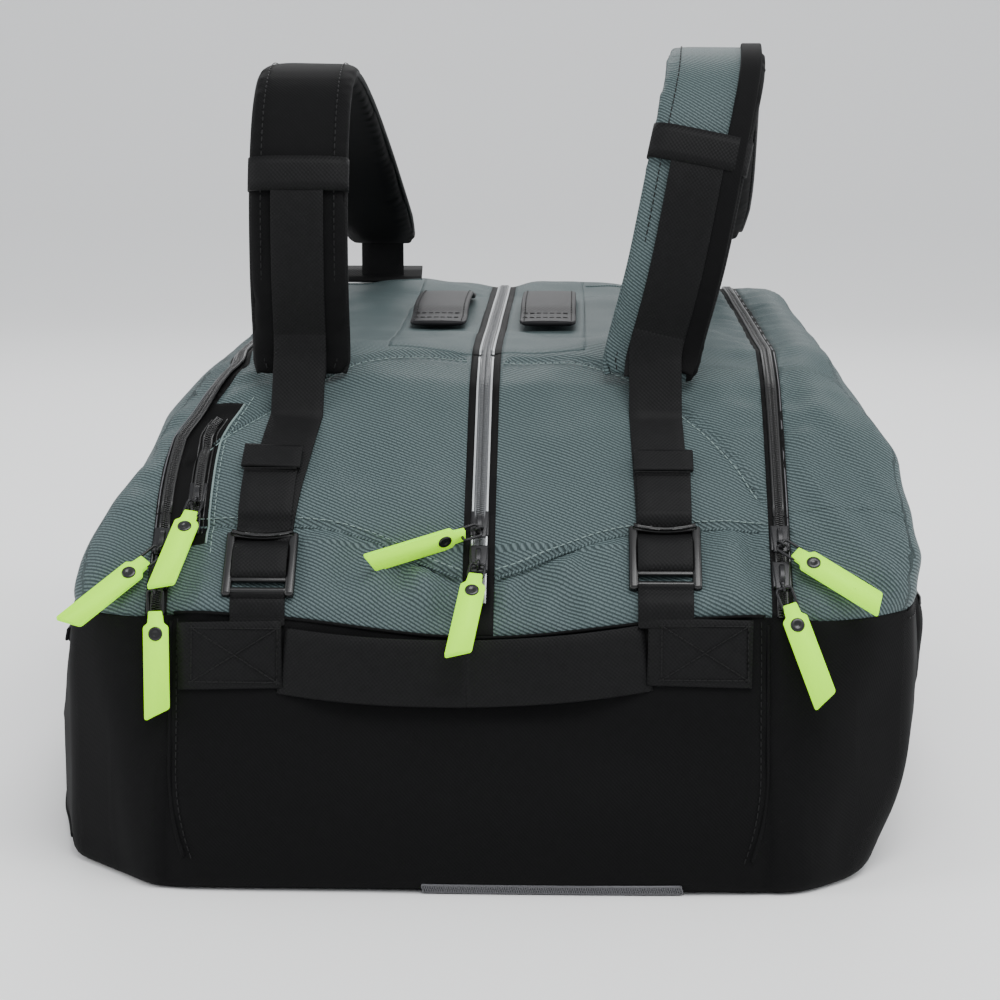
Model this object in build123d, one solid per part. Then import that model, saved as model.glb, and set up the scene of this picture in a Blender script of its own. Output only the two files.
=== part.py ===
from build123d import *
import math
import os

os.makedirs("parts", exist_ok=True)

# Racket tournament bag lying on its base. X runs across the bag, Y from the front end to
# the rear end, Z up. The origin is on the floor under the middle of the bag.

# ---------------------------------------------------------------- driving dimensions, mm
FOOT_Y = 388.0            # front and rear ends, at the floor, from the middle
YOKE_Y = 358.0            # front and rear ends, where the slopes start
YOKE_Z = 157.0            # height where the slopes start
TOP_Y = 220.0             # end of the flat top, from the middle
TOP_Z = 285.0             # height of the flat top
LEFT_X = 268.0            # widest reach of the left side
RIGHT_X = 272.0           # widest reach of the right side
WALL = 4.0                # padded fabric wall
TAPE = 1.6                # zip tape
COIL_RISE = 2.2           # how far a zip coil stands out of its tape
COIL_HALF = 2.6           # half the width of a closed coil
GAP = 0.3                 # clearance between pieces that move apart

BASE_TOP = 8.0            # top edge of the base panel
BLACK_TOP = 152.0         # top edge of the black lower panels
END_HALF = 178.0          # end panel seams, from the middle
YOKE_RUN = 46.0           # yoke seam, measured up the slope
FLAP_RUN = 62.0           # where the side flaps start, measured up the front slope
MIDDLE_FLAP_HALF = 60.0   # hinge lines of the middle flaps, from the middle
MIDDLE_FLAP_Y = 204.0     # ends of the middle flaps, from the middle
DIVIDER_X = 90.0          # compartment dividers, from the middle
DIVIDER = 3.0             # divider thickness

LEFT_ZIP_X = 180.0        # left zip at the front, from the middle
LEFT_ZIP_TOP_X = 150.0    # left zip on the flat top
RIGHT_ZIP_X = 170.0
ZIP_BEND_RUN = 120.0      # where the left zip starts to lean inwards, up the slope
TAPE_HALF = 6.0           # half the width of a side zip's tape
CENTRE_TAPE_HALF = 9.0
POCKET_ZIP_X = 163.0
POCKET_ZIP_RUN = (50.0, 128.0)
POCKET_DEPTH = 60.0

WEB_WIDTH = 32.0          # strap webbing
WEB = 1.8
BAND_WIDTH = 38.0         # end handle webbing
BAND = 2.4
PATCH_LENGTH = 58.0       # sewn ends of the end handle
HANDLE_FREE = (-84.0, 66.0)

BUCKLE_WIDTH = 40.0
BUCKLE_LENGTH = 44.0
BUCKLE_THICK = 5.0
LEFT_BUCKLE = (-123.0, 26.0)    # x, and middle measured up the slope
RIGHT_BUCKLE = (105.0, 32.0)

PAD_WIDTH = 58.0
PAD_THICK = 14.0
STRAP_BASE_Z = 290.5      # lowest point of the shoulder pads

SLIDER_LENGTH = 20.0
SLIDER_WIDTH = 11.0
SLIDER_TOP = 5.4
SLIDER_SKIN = 0.35        # slider to tape, and slider to coil
EYE_REACH = 6.0           # slider middle to its eye, down the slope
EYE_HEIGHT = 8.0          # eye centre above the tape
WIRE = 0.9                # pull link wire radius
LINK_WIDTH = 9.0
LEAF_LENGTH = 60.0
LEAF_WIDTH = 14.0
LEAF_THICK = 2.6
RIVET = 4.0               # rivet head radius

GRAB_WIDTH = 38.0
GRAB_LENGTH = 190.0
GRAB_X = 36.0
GRAB_THICK = 5.0
POCKET_THICK = 8.0        # side pockets, proud of the side panels
BIG = 1200.0

# ---------------------------------------------------------------- frames on the bag
SLOPE_DY = YOKE_Y - TOP_Y
SLOPE_DZ = TOP_Z - YOKE_Z
SLOPE_LENGTH = math.hypot(SLOPE_DY, SLOPE_DZ)
UP = Vector(0, SLOPE_DY / SLOPE_LENGTH, SLOPE_DZ / SLOPE_LENGTH)
OUT = Vector(0, -UP.Z, UP.Y)
ACROSS = Vector(1, 0, 0)
END_LEAN = (FOOT_Y - YOKE_Y) / YOKE_Z


def on_slope(x, run, height=0.0):
    """Point on the front slope: x across, run up the slope, height above the fabric."""
    return Vector(x, -YOKE_Y, YOKE_Z) + UP * run + OUT * height


def on_front(x, z, height=0.0):
    """Point on the front end panel, height out of the fabric."""
    out = Vector(0, -1, END_LEAN).normalized()
    return Vector(x, -YOKE_Y - END_LEAN * (YOKE_Z - z), z) + out * height


def slope_y(run):
    return on_slope(0, run).Y


def mirror_y(points):
    return [(x, -y) for x, y in reversed(points)]


def inset_outline(points, radii, inset):
    """Closed outline, moved in by inset, with its corners rounded to suit."""
    count = len(points)
    moved = []
    for i, (x, y) in enumerate(points):
        px, py = points[i - 1]
        nx, ny = points[(i + 1) % count]
        d1 = Vector(x - px, y - py).normalized()
        d2 = Vector(nx - x, ny - y).normalized()
        n1 = Vector(-d1.Y, d1.X)
        n2 = Vector(-d2.Y, d2.X)
        mitre = (n1 + n2) * (inset / (1 + n1.dot(n2)))
        moved.append((x + mitre.X, y + mitre.Y))
    rounds = [max(r - inset, 0.0) for r in radii]
    return make_face(FilletPolyline(*moved, radius=rounds, close=True))


def side_outline(inset):
    """Outline seen from the side, in Y and Z."""
    half = [(FOOT_Y, 0), (YOKE_Y, YOKE_Z), (TOP_Y, TOP_Z)]
    points = half + [(-y, z) for y, z in reversed(half)]
    return inset_outline(points, [26, 20, 30, 30, 20, 26], inset)


def cross_outline(inset):
    """Outline seen from the front, in X and Z: a slanted left side and a right side that draws
    in towards the floor."""
    points = [(-LEFT_X + 6, 0), (RIGHT_X - 49, 0), (RIGHT_X - 6, 78), (RIGHT_X, 130), (256, 225),
              (213, TOP_Z), (-LEFT_ZIP_TOP_X - 4, TOP_Z), (-222, 218), (-LEFT_X + 5, 120),
              (-LEFT_X, 60)]
    return inset_outline(points, [24, 30, 60, 60, 40, 30, 20, 60, 60, 60], inset)


def plan_outline(inset):
    """Outline seen from above: the corners are drawn in towards the ends."""
    front = [(-END_HALF, -FOOT_Y), (END_HALF, -FOOT_Y), (246, -330), (266, -235), (RIGHT_X, 0)]
    rear = [(266, 235), (246, 330), (END_HALF, FOOT_Y), (-END_HALF, FOOT_Y), (-236, 331)]
    left = [(-262, 235), (-LEFT_X, 0), (-262, -235), (-236, -331)]
    radii = [30, 30, 60, 200, 300, 200, 60, 30, 30, 60, 200, 300, 200, 60]
    return inset_outline(front + rear + left, radii, inset)


def body(inset):
    """The whole bag as one closed form, moved in by inset."""
    side = extrude(Plane.YZ * side_outline(inset), BIG / 2, both=True)
    cross = extrude(Plane.XZ * cross_outline(inset), BIG / 2, both=True)
    plan = extrude(Plane.XY * plan_outline(inset), BIG / 2, both=True)
    return side & cross & plan


OUTER = body(0)
SKIN = OUTER - body(WALL)
TAPE_LAYER = OUTER - body(TAPE)
COIL_LAYER = body(-COIL_RISE) - OUTER


def block(x0, x1, y0, y1, z0, z1):
    centre = Pos((x0 + x1) / 2, (y0 + y1) / 2, (z0 + z1) / 2)
    return centre * Box(x1 - x0, y1 - y0, z1 - z0)


def plan_prism(points, z0=0.0, z1=BIG):
    """Upright prism over a plan outline."""
    return extrude(Pos(0, 0, z0) * make_face(Polyline(*points, close=True)), z1 - z0)


def zip_line(side):
    """Plan line of a side zip, from the front to the rear."""
    if side > 0:
        return [(RIGHT_ZIP_X, -BIG), (RIGHT_ZIP_X, BIG)]
    bend = slope_y(ZIP_BEND_RUN)
    half = [(-LEFT_ZIP_X, -BIG), (-LEFT_ZIP_X, bend), (-LEFT_ZIP_TOP_X, -TOP_Y + 4)]
    return half + mirror_y(half)


def zip_corridor(side, near, far, z0=BLACK_TOP, z1=BIG):
    """Prism beside a side zip, between two distances outwards from its line."""
    line = zip_line(side)
    first = [(x + side * near, y) for x, y in line]
    second = [(x + side * far, y) for x, y in reversed(line)]
    return plan_prism(first + second, z0, z1)


def solids_of(shape):
    found = shape.solids()
    if not found:
        raise ValueError("a piece came out empty")
    return found


def save(name, *shapes):
    """Write one node: every solid of the given shapes."""
    found = [s for shape in shapes for s in solids_of(shape)]
    found = [s for s in found if s.volume > 1.0]
    for solid in found:
        solid.label = name
    export_step(found[0] if len(found) == 1 else Compound(children=found), f"parts/{name}.step")
    print(name, len(found), round(sum(s.volume for s in found)))


# ---------------------------------------------------------------- lower panels
MIDDLE = block(-END_HALF, END_HALF, -BIG, BIG, -BIG, BIG)
LOWER = block(-BIG, BIG, -BIG, BIG, BASE_TOP, BLACK_TOP)
FRONT = block(-BIG, BIG, -BIG, 0, -BIG, BIG)
REAR = block(-BIG, BIG, 0, BIG, -BIG, BIG)

save("base_panel", SKIN & block(-BIG, BIG, -BIG, BIG, -BIG, BASE_TOP))
save("front_end_panel", SKIN & LOWER & MIDDLE & FRONT)
save("rear_end_panel", SKIN & LOWER & MIDDLE & REAR)
save("left_side_panel", SKIN & LOWER & block(-BIG, -END_HALF, -BIG, BIG, -BIG, BIG))
save("right_side_panel", SKIN & LOWER & block(END_HALF, BIG, -BIG, BIG, -BIG, BIG))

# Zip of the base compartment, along the lower front edge.
BASE_ZIP_X = (-30.0, 115.0)
BASE_ZIP_Z = (2.5, BASE_TOP - 0.5)
save("base_zip", COIL_LAYER & block(*BASE_ZIP_X, -BIG, 0, *BASE_ZIP_Z))

# ---------------------------------------------------------------- green fixed panels
YOKE_TOP_Y = slope_y(YOKE_RUN)
BETWEEN = (OUTER - zip_corridor(-1, -TAPE_HALF, BIG)) - zip_corridor(1, -TAPE_HALF, BIG)
BETWEEN = BETWEEN - block(-CENTRE_TAPE_HALF, CENTRE_TAPE_HALF, -BIG, BIG, -BIG, BIG)
GREEN = SKIN & BETWEEN & block(-BIG, BIG, -BIG, BIG, BLACK_TOP, BIG)
pocket_slot = block(-POCKET_ZIP_X - TAPE_HALF, -POCKET_ZIP_X + TAPE_HALF,
                    slope_y(POCKET_ZIP_RUN[0]), slope_y(POCKET_ZIP_RUN[1]), YOKE_Z, BIG)
YOKES = {"front": (-BIG, YOKE_TOP_Y), "rear": (-YOKE_TOP_Y, BIG)}
SLOPES = {"front": (YOKE_TOP_Y, -MIDDLE_FLAP_Y), "rear": (MIDDLE_FLAP_Y, -YOKE_TOP_Y)}
SIDES = {"left": -1, "right": 1}

for end, (y0, y1) in YOKES.items():
    save(f"{end}_yoke", GREEN & block(-BIG, BIG, y0, y1, 0, BIG))
for end, (y0, y1) in SLOPES.items():
    for side, sign in SIDES.items():
        x0, x1 = sorted((0, sign * BIG))
        panel = GREEN & block(x0, x1, y0, y1, 0, BIG)
        if (end, side) == ("front", "left"):
            panel = panel - pocket_slot
        save(f"{end}_slope_{side}", panel)

STRIP = block(-BIG, BIG, -MIDDLE_FLAP_Y, MIDDLE_FLAP_Y, TOP_Z - 2 * WALL, BIG)
for side, sign in SIDES.items():
    x0, x1 = sorted((sign * (MIDDLE_FLAP_HALF + GAP / 2), sign * BIG))
    save(f"{side}_top_strip", GREEN & STRIP & block(x0, x1, -BIG, BIG, 0, BIG))

# ---------------------------------------------------------------- middle flaps and zip
COIL_SLOT = 0.15
for side, sign in SIDES.items():
    x0, x1 = sorted((0, sign * (MIDDLE_FLAP_HALF - GAP / 2)))
    y1 = MIDDLE_FLAP_Y - GAP
    save(f"middle_flap_{side}", GREEN & block(x0, x1, -y1, y1, TOP_Z - 2 * WALL, BIG))
    t0, t1 = sorted((sign * COIL_SLOT, sign * CENTRE_TAPE_HALF))
    c0, c1 = sorted((sign * COIL_SLOT, sign * COIL_HALF))
    save(f"middle_zip_{side}",
         TAPE_LAYER & block(t0, t1, -y1, y1, YOKE_Z, BIG),
         COIL_LAYER & block(c0, c1, -y1, y1, YOKE_Z, BIG))

centre_zip = []
for y0, y1 in ((-BIG, -MIDDLE_FLAP_Y), (MIDDLE_FLAP_Y, BIG)):
    tape = block(-CENTRE_TAPE_HALF, CENTRE_TAPE_HALF, y0, y1, BLACK_TOP, BIG)
    coil = block(-COIL_HALF, COIL_HALF, y0, y1, BLACK_TOP + 6, BIG)
    centre_zip += [TAPE_LAYER & tape, COIL_LAYER & coil]
save("slope_zip", *centre_zip)

# ---------------------------------------------------------------- side zips and flaps
FLAP_Y = slope_y(FLAP_RUN)
FLAP_SPAN = block(-BIG, BIG, FLAP_Y + GAP, BIG, BLACK_TOP + GAP, BIG)
CORNER_SPAN = block(-BIG, BIG, -BIG, FLAP_Y, BLACK_TOP, BIG)
for side, sign in SIDES.items():
    half = COIL_SLOT
    save(f"{side}_flap", SKIN & FLAP_SPAN & zip_corridor(sign, TAPE_HALF, 400))
    save(f"{side}_front_corner", SKIN & CORNER_SPAN & zip_corridor(sign, TAPE_HALF, 400))
    save(f"{side}_flap_zip",
         TAPE_LAYER & FLAP_SPAN & zip_corridor(sign, half, TAPE_HALF),
         COIL_LAYER & FLAP_SPAN & zip_corridor(sign, half, COIL_HALF))
    save(f"{side}_fixed_zip",
         TAPE_LAYER & zip_corridor(sign, -TAPE_HALF, -half),
         COIL_LAYER & zip_corridor(sign, -COIL_HALF, -half, BLACK_TOP + 6),
         TAPE_LAYER & CORNER_SPAN & zip_corridor(sign, -half, TAPE_HALF),
         COIL_LAYER & CORNER_SPAN & zip_corridor(sign, -half, COIL_HALF, BLACK_TOP + 6))

# ---------------------------------------------------------------- accessory pocket
pocket_coil = block(-POCKET_ZIP_X - COIL_HALF, -POCKET_ZIP_X + COIL_HALF,
                    slope_y(POCKET_ZIP_RUN[0]), slope_y(POCKET_ZIP_RUN[1]), YOKE_Z, BIG)
save("pocket_zip", TAPE_LAYER & pocket_slot, COIL_LAYER & pocket_coil)

pouch_middle = (POCKET_ZIP_RUN[0] + POCKET_ZIP_RUN[1]) / 2
pouch_run = POCKET_ZIP_RUN[1] - POCKET_ZIP_RUN[0] - 2 * WALL
pouch_plane = Plane(on_slope(-POCKET_ZIP_X + TAPE_HALF + POCKET_DEPTH / 2, pouch_middle,
                             -WALL - 1.5), x_dir=ACROSS, z_dir=OUT)
save("accessory_pocket", pouch_plane * Box(POCKET_DEPTH, pouch_run, 3.0))

# ---------------------------------------------------------------- dividers
divider_zone = body(WALL) & block(-BIG, BIG, -TOP_Y - 60, TOP_Y + 60, 0, BIG)
save("dividers", *[divider_zone & block(s * DIVIDER_X - DIVIDER / 2, s * DIVIDER_X + DIVIDER / 2,
                                        -BIG, BIG, 0, BIG) for s in (-1, 1)])

# ---------------------------------------------------------------- side pockets
POCKET_LAYER = body(-POCKET_THICK) - OUTER
pocket_span = block(-BIG, BIG, -215, 215, 34, 140)
save("side_pockets", *[POCKET_LAYER & pocket_span & block(*sorted((s * 200, s * BIG)), -BIG, BIG,
                                                          0, BIG) for s in (-1, 1)])


# ---------------------------------------------------------------- webbing shapes
def band_face(points, thick):
    """Strip of even thickness along an open line of points, as a face."""
    left, right = [], []
    count = len(points)
    for i, (x, y) in enumerate(points):
        before = points[max(i - 1, 0)]
        after = points[min(i + 1, count - 1)]
        d1 = Vector(x - before[0], y - before[1]) if i else Vector(after[0] - x, after[1] - y)
        d2 = Vector(after[0] - x, after[1] - y) if i < count - 1 else d1
        n1 = Vector(-d1.Y, d1.X).normalized()
        n2 = Vector(-d2.Y, d2.X).normalized()
        mitre = (n1 + n2) * (thick / 2 / (1 + n1.dot(n2)))
        left.append((x + mitre.X, y + mitre.Y))
        right.append((x - mitre.X, y - mitre.Y))
    return make_face(Polyline(*left, *reversed(right), close=True))


def ribbon(stations, width, thick):
    """Strip through 3-D stations, its width along X, lofted between square sections."""
    sections = []
    count = len(stations)
    for i, point in enumerate(stations):
        before = Vector(*stations[max(i - 1, 0)])
        after = Vector(*stations[min(i + 1, count - 1)])
        along = Vector(0, after.Y - before.Y, after.Z - before.Z).normalized()
        normal = Vector(0, -along.Z, along.Y)
        centre = Vector(*point)
        corners = [centre + ACROSS * (sx * width / 2) + normal * (sn * thick / 2)
                   for sx, sn in ((-1, -1), (1, -1), (1, 1), (-1, 1))]
        sections.append(Wire.make_polygon(corners, close=True))
    return Solid.make_loft(sections, ruled=True)


# ---------------------------------------------------------------- strap buckles
BAR = 2.2                     # anchor bar radius
BAR_RUN = -BUCKLE_LENGTH / 2 + 4.0
BUCKLE_LIFT = 4.6             # anchor bar centre above the fabric
LOOP_INNER = BAR + 0.35
WEB_BARS = (-3.0, 8.0)        # webbing bars, from the buckle's middle


def buckle_frame(x, run):
    """Ladder-lock frame in one piece: two rails, an anchor bar and two webbing bars."""
    plane = Plane(on_slope(x, run, BUCKLE_LIFT), x_dir=ACROSS, z_dir=OUT)
    window = WEB_WIDTH + 1.2
    frame = Box(BUCKLE_WIDTH, BUCKLE_LENGTH, BUCKLE_THICK)
    frame = frame - Box(window, BUCKLE_LENGTH - 8.0, BUCKLE_THICK * 2)
    frame = frame - Pos(0, BAR_RUN - 4, 0) * Box(window, 12, BUCKLE_THICK * 2)
    frame = frame + Pos(0, BAR_RUN, 0) * Rot(0, 90, 0) * Cylinder(BAR, BUCKLE_WIDTH)
    for at in WEB_BARS:
        frame = frame + Pos(0, at, 0) * Box(BUCKLE_WIDTH - 2, 4, 3.0)
    return plane * frame


def anchor_loop(x, run):
    """Webbing loop that holds the anchor bar and is sewn down at the foot of the slope."""
    centre = (run + BAR_RUN, BUCKLE_LIFT)
    arc = [(centre[0] + (LOOP_INNER + WEB / 2) * math.cos(a),
            centre[1] + (LOOP_INNER + WEB / 2) * math.sin(a))
           for a in [math.radians(d) for d in range(-80, 81, 20)]]
    low = arc[0][1]
    high = arc[-1][1]
    points = [(centre[0] - 5.2, low), *arc, (centre[0] - 5.2, high)]
    face = band_face(points, WEB)
    plane = Plane(on_slope(x - WEB_WIDTH / 2 + 0.5, 0, 0), x_dir=UP, z_dir=ACROSS)
    return extrude(plane * face, WEB_WIDTH - 1)


BUCKLES = {"left": LEFT_BUCKLE, "right": RIGHT_BUCKLE}
sewn = []
for side, (x, run) in BUCKLES.items():
    save(f"{side}_buckle", buckle_frame(x, run))
    sewn.append(anchor_loop(x, run))

# ---------------------------------------------------------------- end handle
PATCH_Z = {"left": 131.0, "right": 134.0}
PATCH_X = {"left": -138.0, "right": 124.0}
for side in SIDES:
    plane = Plane(on_front(PATCH_X[side], PATCH_Z[side], BAND / 2), x_dir=ACROSS,
                  z_dir=Vector(0, -1, END_LEAN))
    sewn.append(plane * Box(PATCH_LENGTH, BAND_WIDTH, BAND))

HANDLE_STAND = 8.0            # how far the free band bows out of the end panel
HANDLE_MID_Z = 122.0


def handle_point(share):
    """Point of the end handle's middle line, share from 0 at its left to 1 at its right."""
    bow = 4 * share * (1 - share)
    x = HANDLE_FREE[0] + share * (HANDLE_FREE[1] - HANDLE_FREE[0])
    return x, HANDLE_STAND * (0.55 + 0.45 * bow)


def cross_band(points, z, width):
    """Upright band along plan points (x, height out of the end panel)."""
    plan = [(x, -BAND / 2 - h) for x, h in points]
    lean = Plane(on_front(0, z), x_dir=ACROSS, z_dir=Vector(0, END_LEAN, 1))
    return lean * (Pos(0, 0, -width / 2) * extrude(band_face(plan, BAND), width))


save("end_handle", cross_band([handle_point(i / 6) for i in range(7)], HANDLE_MID_Z, BAND_WIDTH))
STUB_RISE = 4.0               # the sewn ends sit this much higher than the drooping middle
LOOP_TAG_Y = (-246.0, -232.0)   # small folded loop on the left side
LOOP_TAG_Z = (108.0, 116.0)
stub = 0.5
left_stub = [(PATCH_X["left"] + PATCH_LENGTH / 2 + GAP, 0.0),
             (HANDLE_FREE[0] - stub, HANDLE_STAND * 0.55)]
right_stub = [(HANDLE_FREE[1] + stub, HANDLE_STAND * 0.55),
              (PATCH_X["right"] - PATCH_LENGTH / 2 - GAP, 0.0)]
for points in (left_stub, right_stub):
    sewn.append(cross_band(points, HANDLE_MID_Z + STUB_RISE, BAND_WIDTH))
sewn.append(POCKET_LAYER & block(-BIG, -200, *LOOP_TAG_Y, *LOOP_TAG_Z))
save("sewn_webbing", *sewn)

# ---------------------------------------------------------------- shoulder straps
STRAP_PATH = [(-240, 0), (-249, 45), (-244, 100), (-218, 142), (-170, 158), (-90, 143),
              (10, 108), (100, 64), (170, 32)]
STRAP_SHIFT = {"left": [0, 0, 0, 0, 0, 2, 6, 12, 16], "right": [0, 12, 24, 34, 38, 42, 48, 52, 52]}
STRAP_X = {"left": -109.0, "right": 101.0}
STRAP_LIFT = {"left": 0.0, "right": 10.0}


def strap_stations(side, along=slice(None), off=0.0):
    """Middle line of a shoulder pad; off moves it outwards along the pad's face."""
    stations = []
    path = STRAP_PATH
    for i, (y, z) in enumerate(path):
        before = path[max(i - 1, 0)]
        after = path[min(i + 1, len(path) - 1)]
        d = Vector(0, after[0] - before[0], after[1] - before[1]).normalized()
        lift = STRAP_LIFT[side] * min(z / 100.0, 1.0)
        out = Vector(0, -d.Z, d.Y) * off
        x = STRAP_X[side] + STRAP_SHIFT[side][i]
        stations.append((x, y + out.Y, STRAP_BASE_Z + z + lift + out.Z))
    return stations[along]


PAD_FACE = PAD_THICK / 2 + GAP / 2
WEB_FACE = PAD_FACE + WEB / 2       # middle of the webbing that runs up the pad
WEB_SEAT = 0.95                     # from its lower end to the middle of the lower webbing
pad_reach = {}
for side in SIDES:
    pad = ribbon(strap_stations(side), PAD_WIDTH, PAD_THICK)
    pad_reach[side] = pad.bounding_box().max.Y
    save(f"{side}_pad", pad)
    keeper = strap_stations(side, slice(1, 4), PAD_FACE + WEB * 1.5 + GAP)
    save(f"{side}_keeper", ribbon(keeper[1:], PAD_WIDTH - 4, WEB))
    web = strap_stations(side, slice(0, 4), WEB_FACE)
    save(f"{side}_strap_web", ribbon(web, WEB_WIDTH, WEB))

# Lower webbing: from under each pad down the slope to the buckle's upper bar.
for side, (x, run) in BUCKLES.items():
    foot = on_slope(x, run + WEB_BARS[1] + 4, WEB / 2 + 0.15)
    shoulder = on_slope(STRAP_X[side], SLOPE_LENGTH - 34, WEB / 2 + 0.15)
    web_foot, web_next = strap_stations(side, slice(0, 2), WEB_FACE)
    upwards = (Vector(*web_next) - Vector(*web_foot)).normalized()
    top = Vector(*web_foot) - upwards * WEB_SEAT
    stations = [foot, shoulder, top]
    save(f"{side}_lower_web", ribbon([(p.X, p.Y, p.Z) for p in stations], WEB_WIDTH, WEB))

# Rear anchors: a webbing wing sewn to the top near its rear end, carrying a short web that
# stands up behind the end of the pad.
WING_INNER = 30.0             # how far the wing reaches towards the middle of the bag
WING_OUTER = {"left": 44.0, "right": 8.0}
WING_BACK = TOP_Y - 24
ANCHOR_RISE = 44.0
anchors = []
for side, sign in SIDES.items():
    x = STRAP_X[side] + STRAP_SHIFT[side][-1]
    front_y = pad_reach[side] + GAP
    x0, x1 = sorted((x - sign * WING_INNER, x + sign * WING_OUTER[side]))
    x0 = max(x0, -LEFT_ZIP_TOP_X + TAPE_HALF)
    x1 = min(x1, RIGHT_ZIP_X - TAPE_HALF)
    anchors.append(block(x0, x1, front_y, WING_BACK, TOP_Z, TOP_Z + WEB))
    x0 = max(x - WEB_WIDTH / 2, x0)
    x1 = min(x + WEB_WIDTH / 2, x1)
    anchors.append(block(x0, x1, front_y, front_y + WEB, TOP_Z + WEB, STRAP_BASE_Z + ANCHOR_RISE))
save("rear_anchors", *anchors)

# ---------------------------------------------------------------- grab handles
for side, sign in SIDES.items():
    x = sign * GRAB_X
    x0, x1 = x - GRAB_WIDTH / 2, x + GRAB_WIDTH / 2
    y0 = -GRAB_LENGTH / 2
    sole = [(y0, TOP_Z), (y0 + 34, TOP_Z), (y0 + 48, TOP_Z + 5), (-y0 - 48, TOP_Z + 5),
            (-y0 - 34, TOP_Z), (-y0, TOP_Z)]
    crown = [(-y0, TOP_Z + 3), (-y0 - 40, TOP_Z + 4), (-y0 - 60, TOP_Z + 5 + GRAB_THICK),
             (y0 + 60, TOP_Z + 5 + GRAB_THICK), (y0 + 40, TOP_Z + 4), (y0, TOP_Z + 3)]
    face = Plane.YZ * make_face(Polyline(*sole, *crown, close=True))
    save(f"grab_handle_{side}", Pos(x0, 0, 0) * extrude(face, x1 - x0))


# ---------------------------------------------------------------- sliders and pulls
def slider_shape(x, run, down, out, reach):
    """Slider over a coil, with an eye that faces the pull."""
    plane = Plane(on_slope(x, run, 0), x_dir=ACROSS, z_dir=OUT)
    shell_height = SLIDER_TOP - SLIDER_SKIN
    shell = Pos(0, 0, SLIDER_SKIN + shell_height / 2) * Box(SLIDER_WIDTH, SLIDER_LENGTH,
                                                            shell_height)
    channel = Box(2 * (COIL_HALF + SLIDER_SKIN), 2 * SLIDER_LENGTH,
                  2 * (COIL_RISE + SLIDER_SKIN))
    upright = fillet((shell - channel).edges().filter_by(Axis.Z), 0.8)
    eye_at = on_slope(x, run - reach, EYE_HEIGHT)
    eye_plane = Plane(eye_at, x_dir=down, z_dir=down.cross(out).normalized())
    eye = eye_plane * (Cylinder(2.9, 2.2) - Cylinder(WIRE + 0.35, 4))
    stem_base = on_slope(x, run - reach + 2.6, SLIDER_TOP - 0.6)
    stem = Plane(stem_base, x_dir=ACROSS, z_dir=OUT) * Pos(0, 0, 1.6) * Box(2.2, 5.6, 3.2)
    hole = eye_plane * Cylinder(WIRE + 1.2, 20)
    return plane * upright + (stem - hole) + eye


def pull_shape(eye, down, out, link, roll):
    """Link wire, leaf and rivet, hanging from eye along down with the face turned to out.

    In the pull's own plane, -Y runs along the pull and +Z points out of the bag.
    """
    plane = Plane(eye, x_dir=out.cross(down).normalized(), z_dir=out)
    wires = [Rot(0, 90, 0) * Cylinder(WIRE, LINK_WIDTH),
             Pos(0, -link, 0) * Rot(0, 90, 0) * Cylinder(WIRE, LINK_WIDTH)]
    for s in (-1, 1):
        at = s * LINK_WIDTH / 2
        wires.append(Pos(at, -link / 2, 0) * Rot(90, 0, 0) * Cylinder(WIRE, link))
        wires += [Pos(at, 0, 0) * Sphere(WIRE), Pos(at, -link, 0) * Sphere(WIRE)]
    ring = wires[0]
    for wire in wires[1:]:
        ring = ring + wire
    half = LEAF_WIDTH / 2
    top = -link + 2.4
    outline = [(-half + 3.2, top), (half - 3.2, top), (half - 3.2, top - 6), (half, top - 8),
               (half, top - LEAF_LENGTH + 7), (-half, top - LEAF_LENGTH), (-half, top - 8),
               (-half + 3.2, top - 6)]
    leaf = extrude(make_face(Polyline(*outline, close=True)), LEAF_THICK / 2, both=True)
    leaf = Pos(0, -link, 0) * Rot(0, roll, 0) * Pos(0, link, 0) * leaf
    rivet = Pos(0, top - 13, 0) * Cylinder(RIVET, LEAF_THICK + 1.0)
    rivet = Pos(0, -link, 0) * Rot(0, roll, 0) * Pos(0, link, 0) * rivet
    return plane * ring, plane * ((leaf - ring) - rivet), plane * rivet


def in_slope(angle, tilt=0.0):
    """Pull direction in the slope: angle from straight down towards the right, tilted out."""
    a = math.radians(angle)
    flat = ACROSS * math.sin(a) - UP * math.cos(a)
    t = math.radians(tilt)
    down = flat * math.cos(t) + OUT * math.sin(t)
    out = OUT * math.cos(t) - flat * math.sin(t)
    return down, out


def hanging(angle, forward):
    """Pull direction in front of the end panel: forward from plumb, angle to the right."""
    a = math.radians(angle)
    f = math.radians(forward)
    down = Vector(math.sin(a), -math.cos(a) * math.sin(f), -math.cos(a) * math.cos(f))
    out = Vector(0, -math.cos(f), math.sin(f))
    return down, out


# name: (x, run of the slider's middle, eye reach, pull direction, link length, leaf roll)
SLIDERS = {
    "centre_upper": (0.0, 55.0, EYE_REACH, in_slope(-66, 4), 11.0, 80.0),
    "centre_lower": (0.0, 31.0, EYE_REACH, in_slope(-8, 6), 10.0, 0.0),
    "right_upper": (RIGHT_ZIP_X, 46.0, EYE_REACH, in_slope(51, 2), 12.0, 0.0),
    "right_lower": (RIGHT_ZIP_X, 21.0, 11.0, hanging(19, 27), 12.0, 0.0),
    "left_upper": (-LEFT_ZIP_X, 42.0, EYE_REACH + 2, in_slope(-42, 1), 13.0, 0.0),
    "left_lower": (-LEFT_ZIP_X, 18.0, 12.0, hanging(2, 15), 14.0, 0.0),
    "pocket": (-POCKET_ZIP_X, 74.0, EYE_REACH, in_slope(-11, 7), 11.0, 0.0),
}
for name, (x, run, reach, (down, out), link, roll) in SLIDERS.items():
    save(f"{name}_slider", slider_shape(x, run, down, out, reach))
    eye = on_slope(x, run - reach, EYE_HEIGHT)
    save(f"{name}_pull", *pull_shape(eye, down, out, link, roll))
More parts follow.
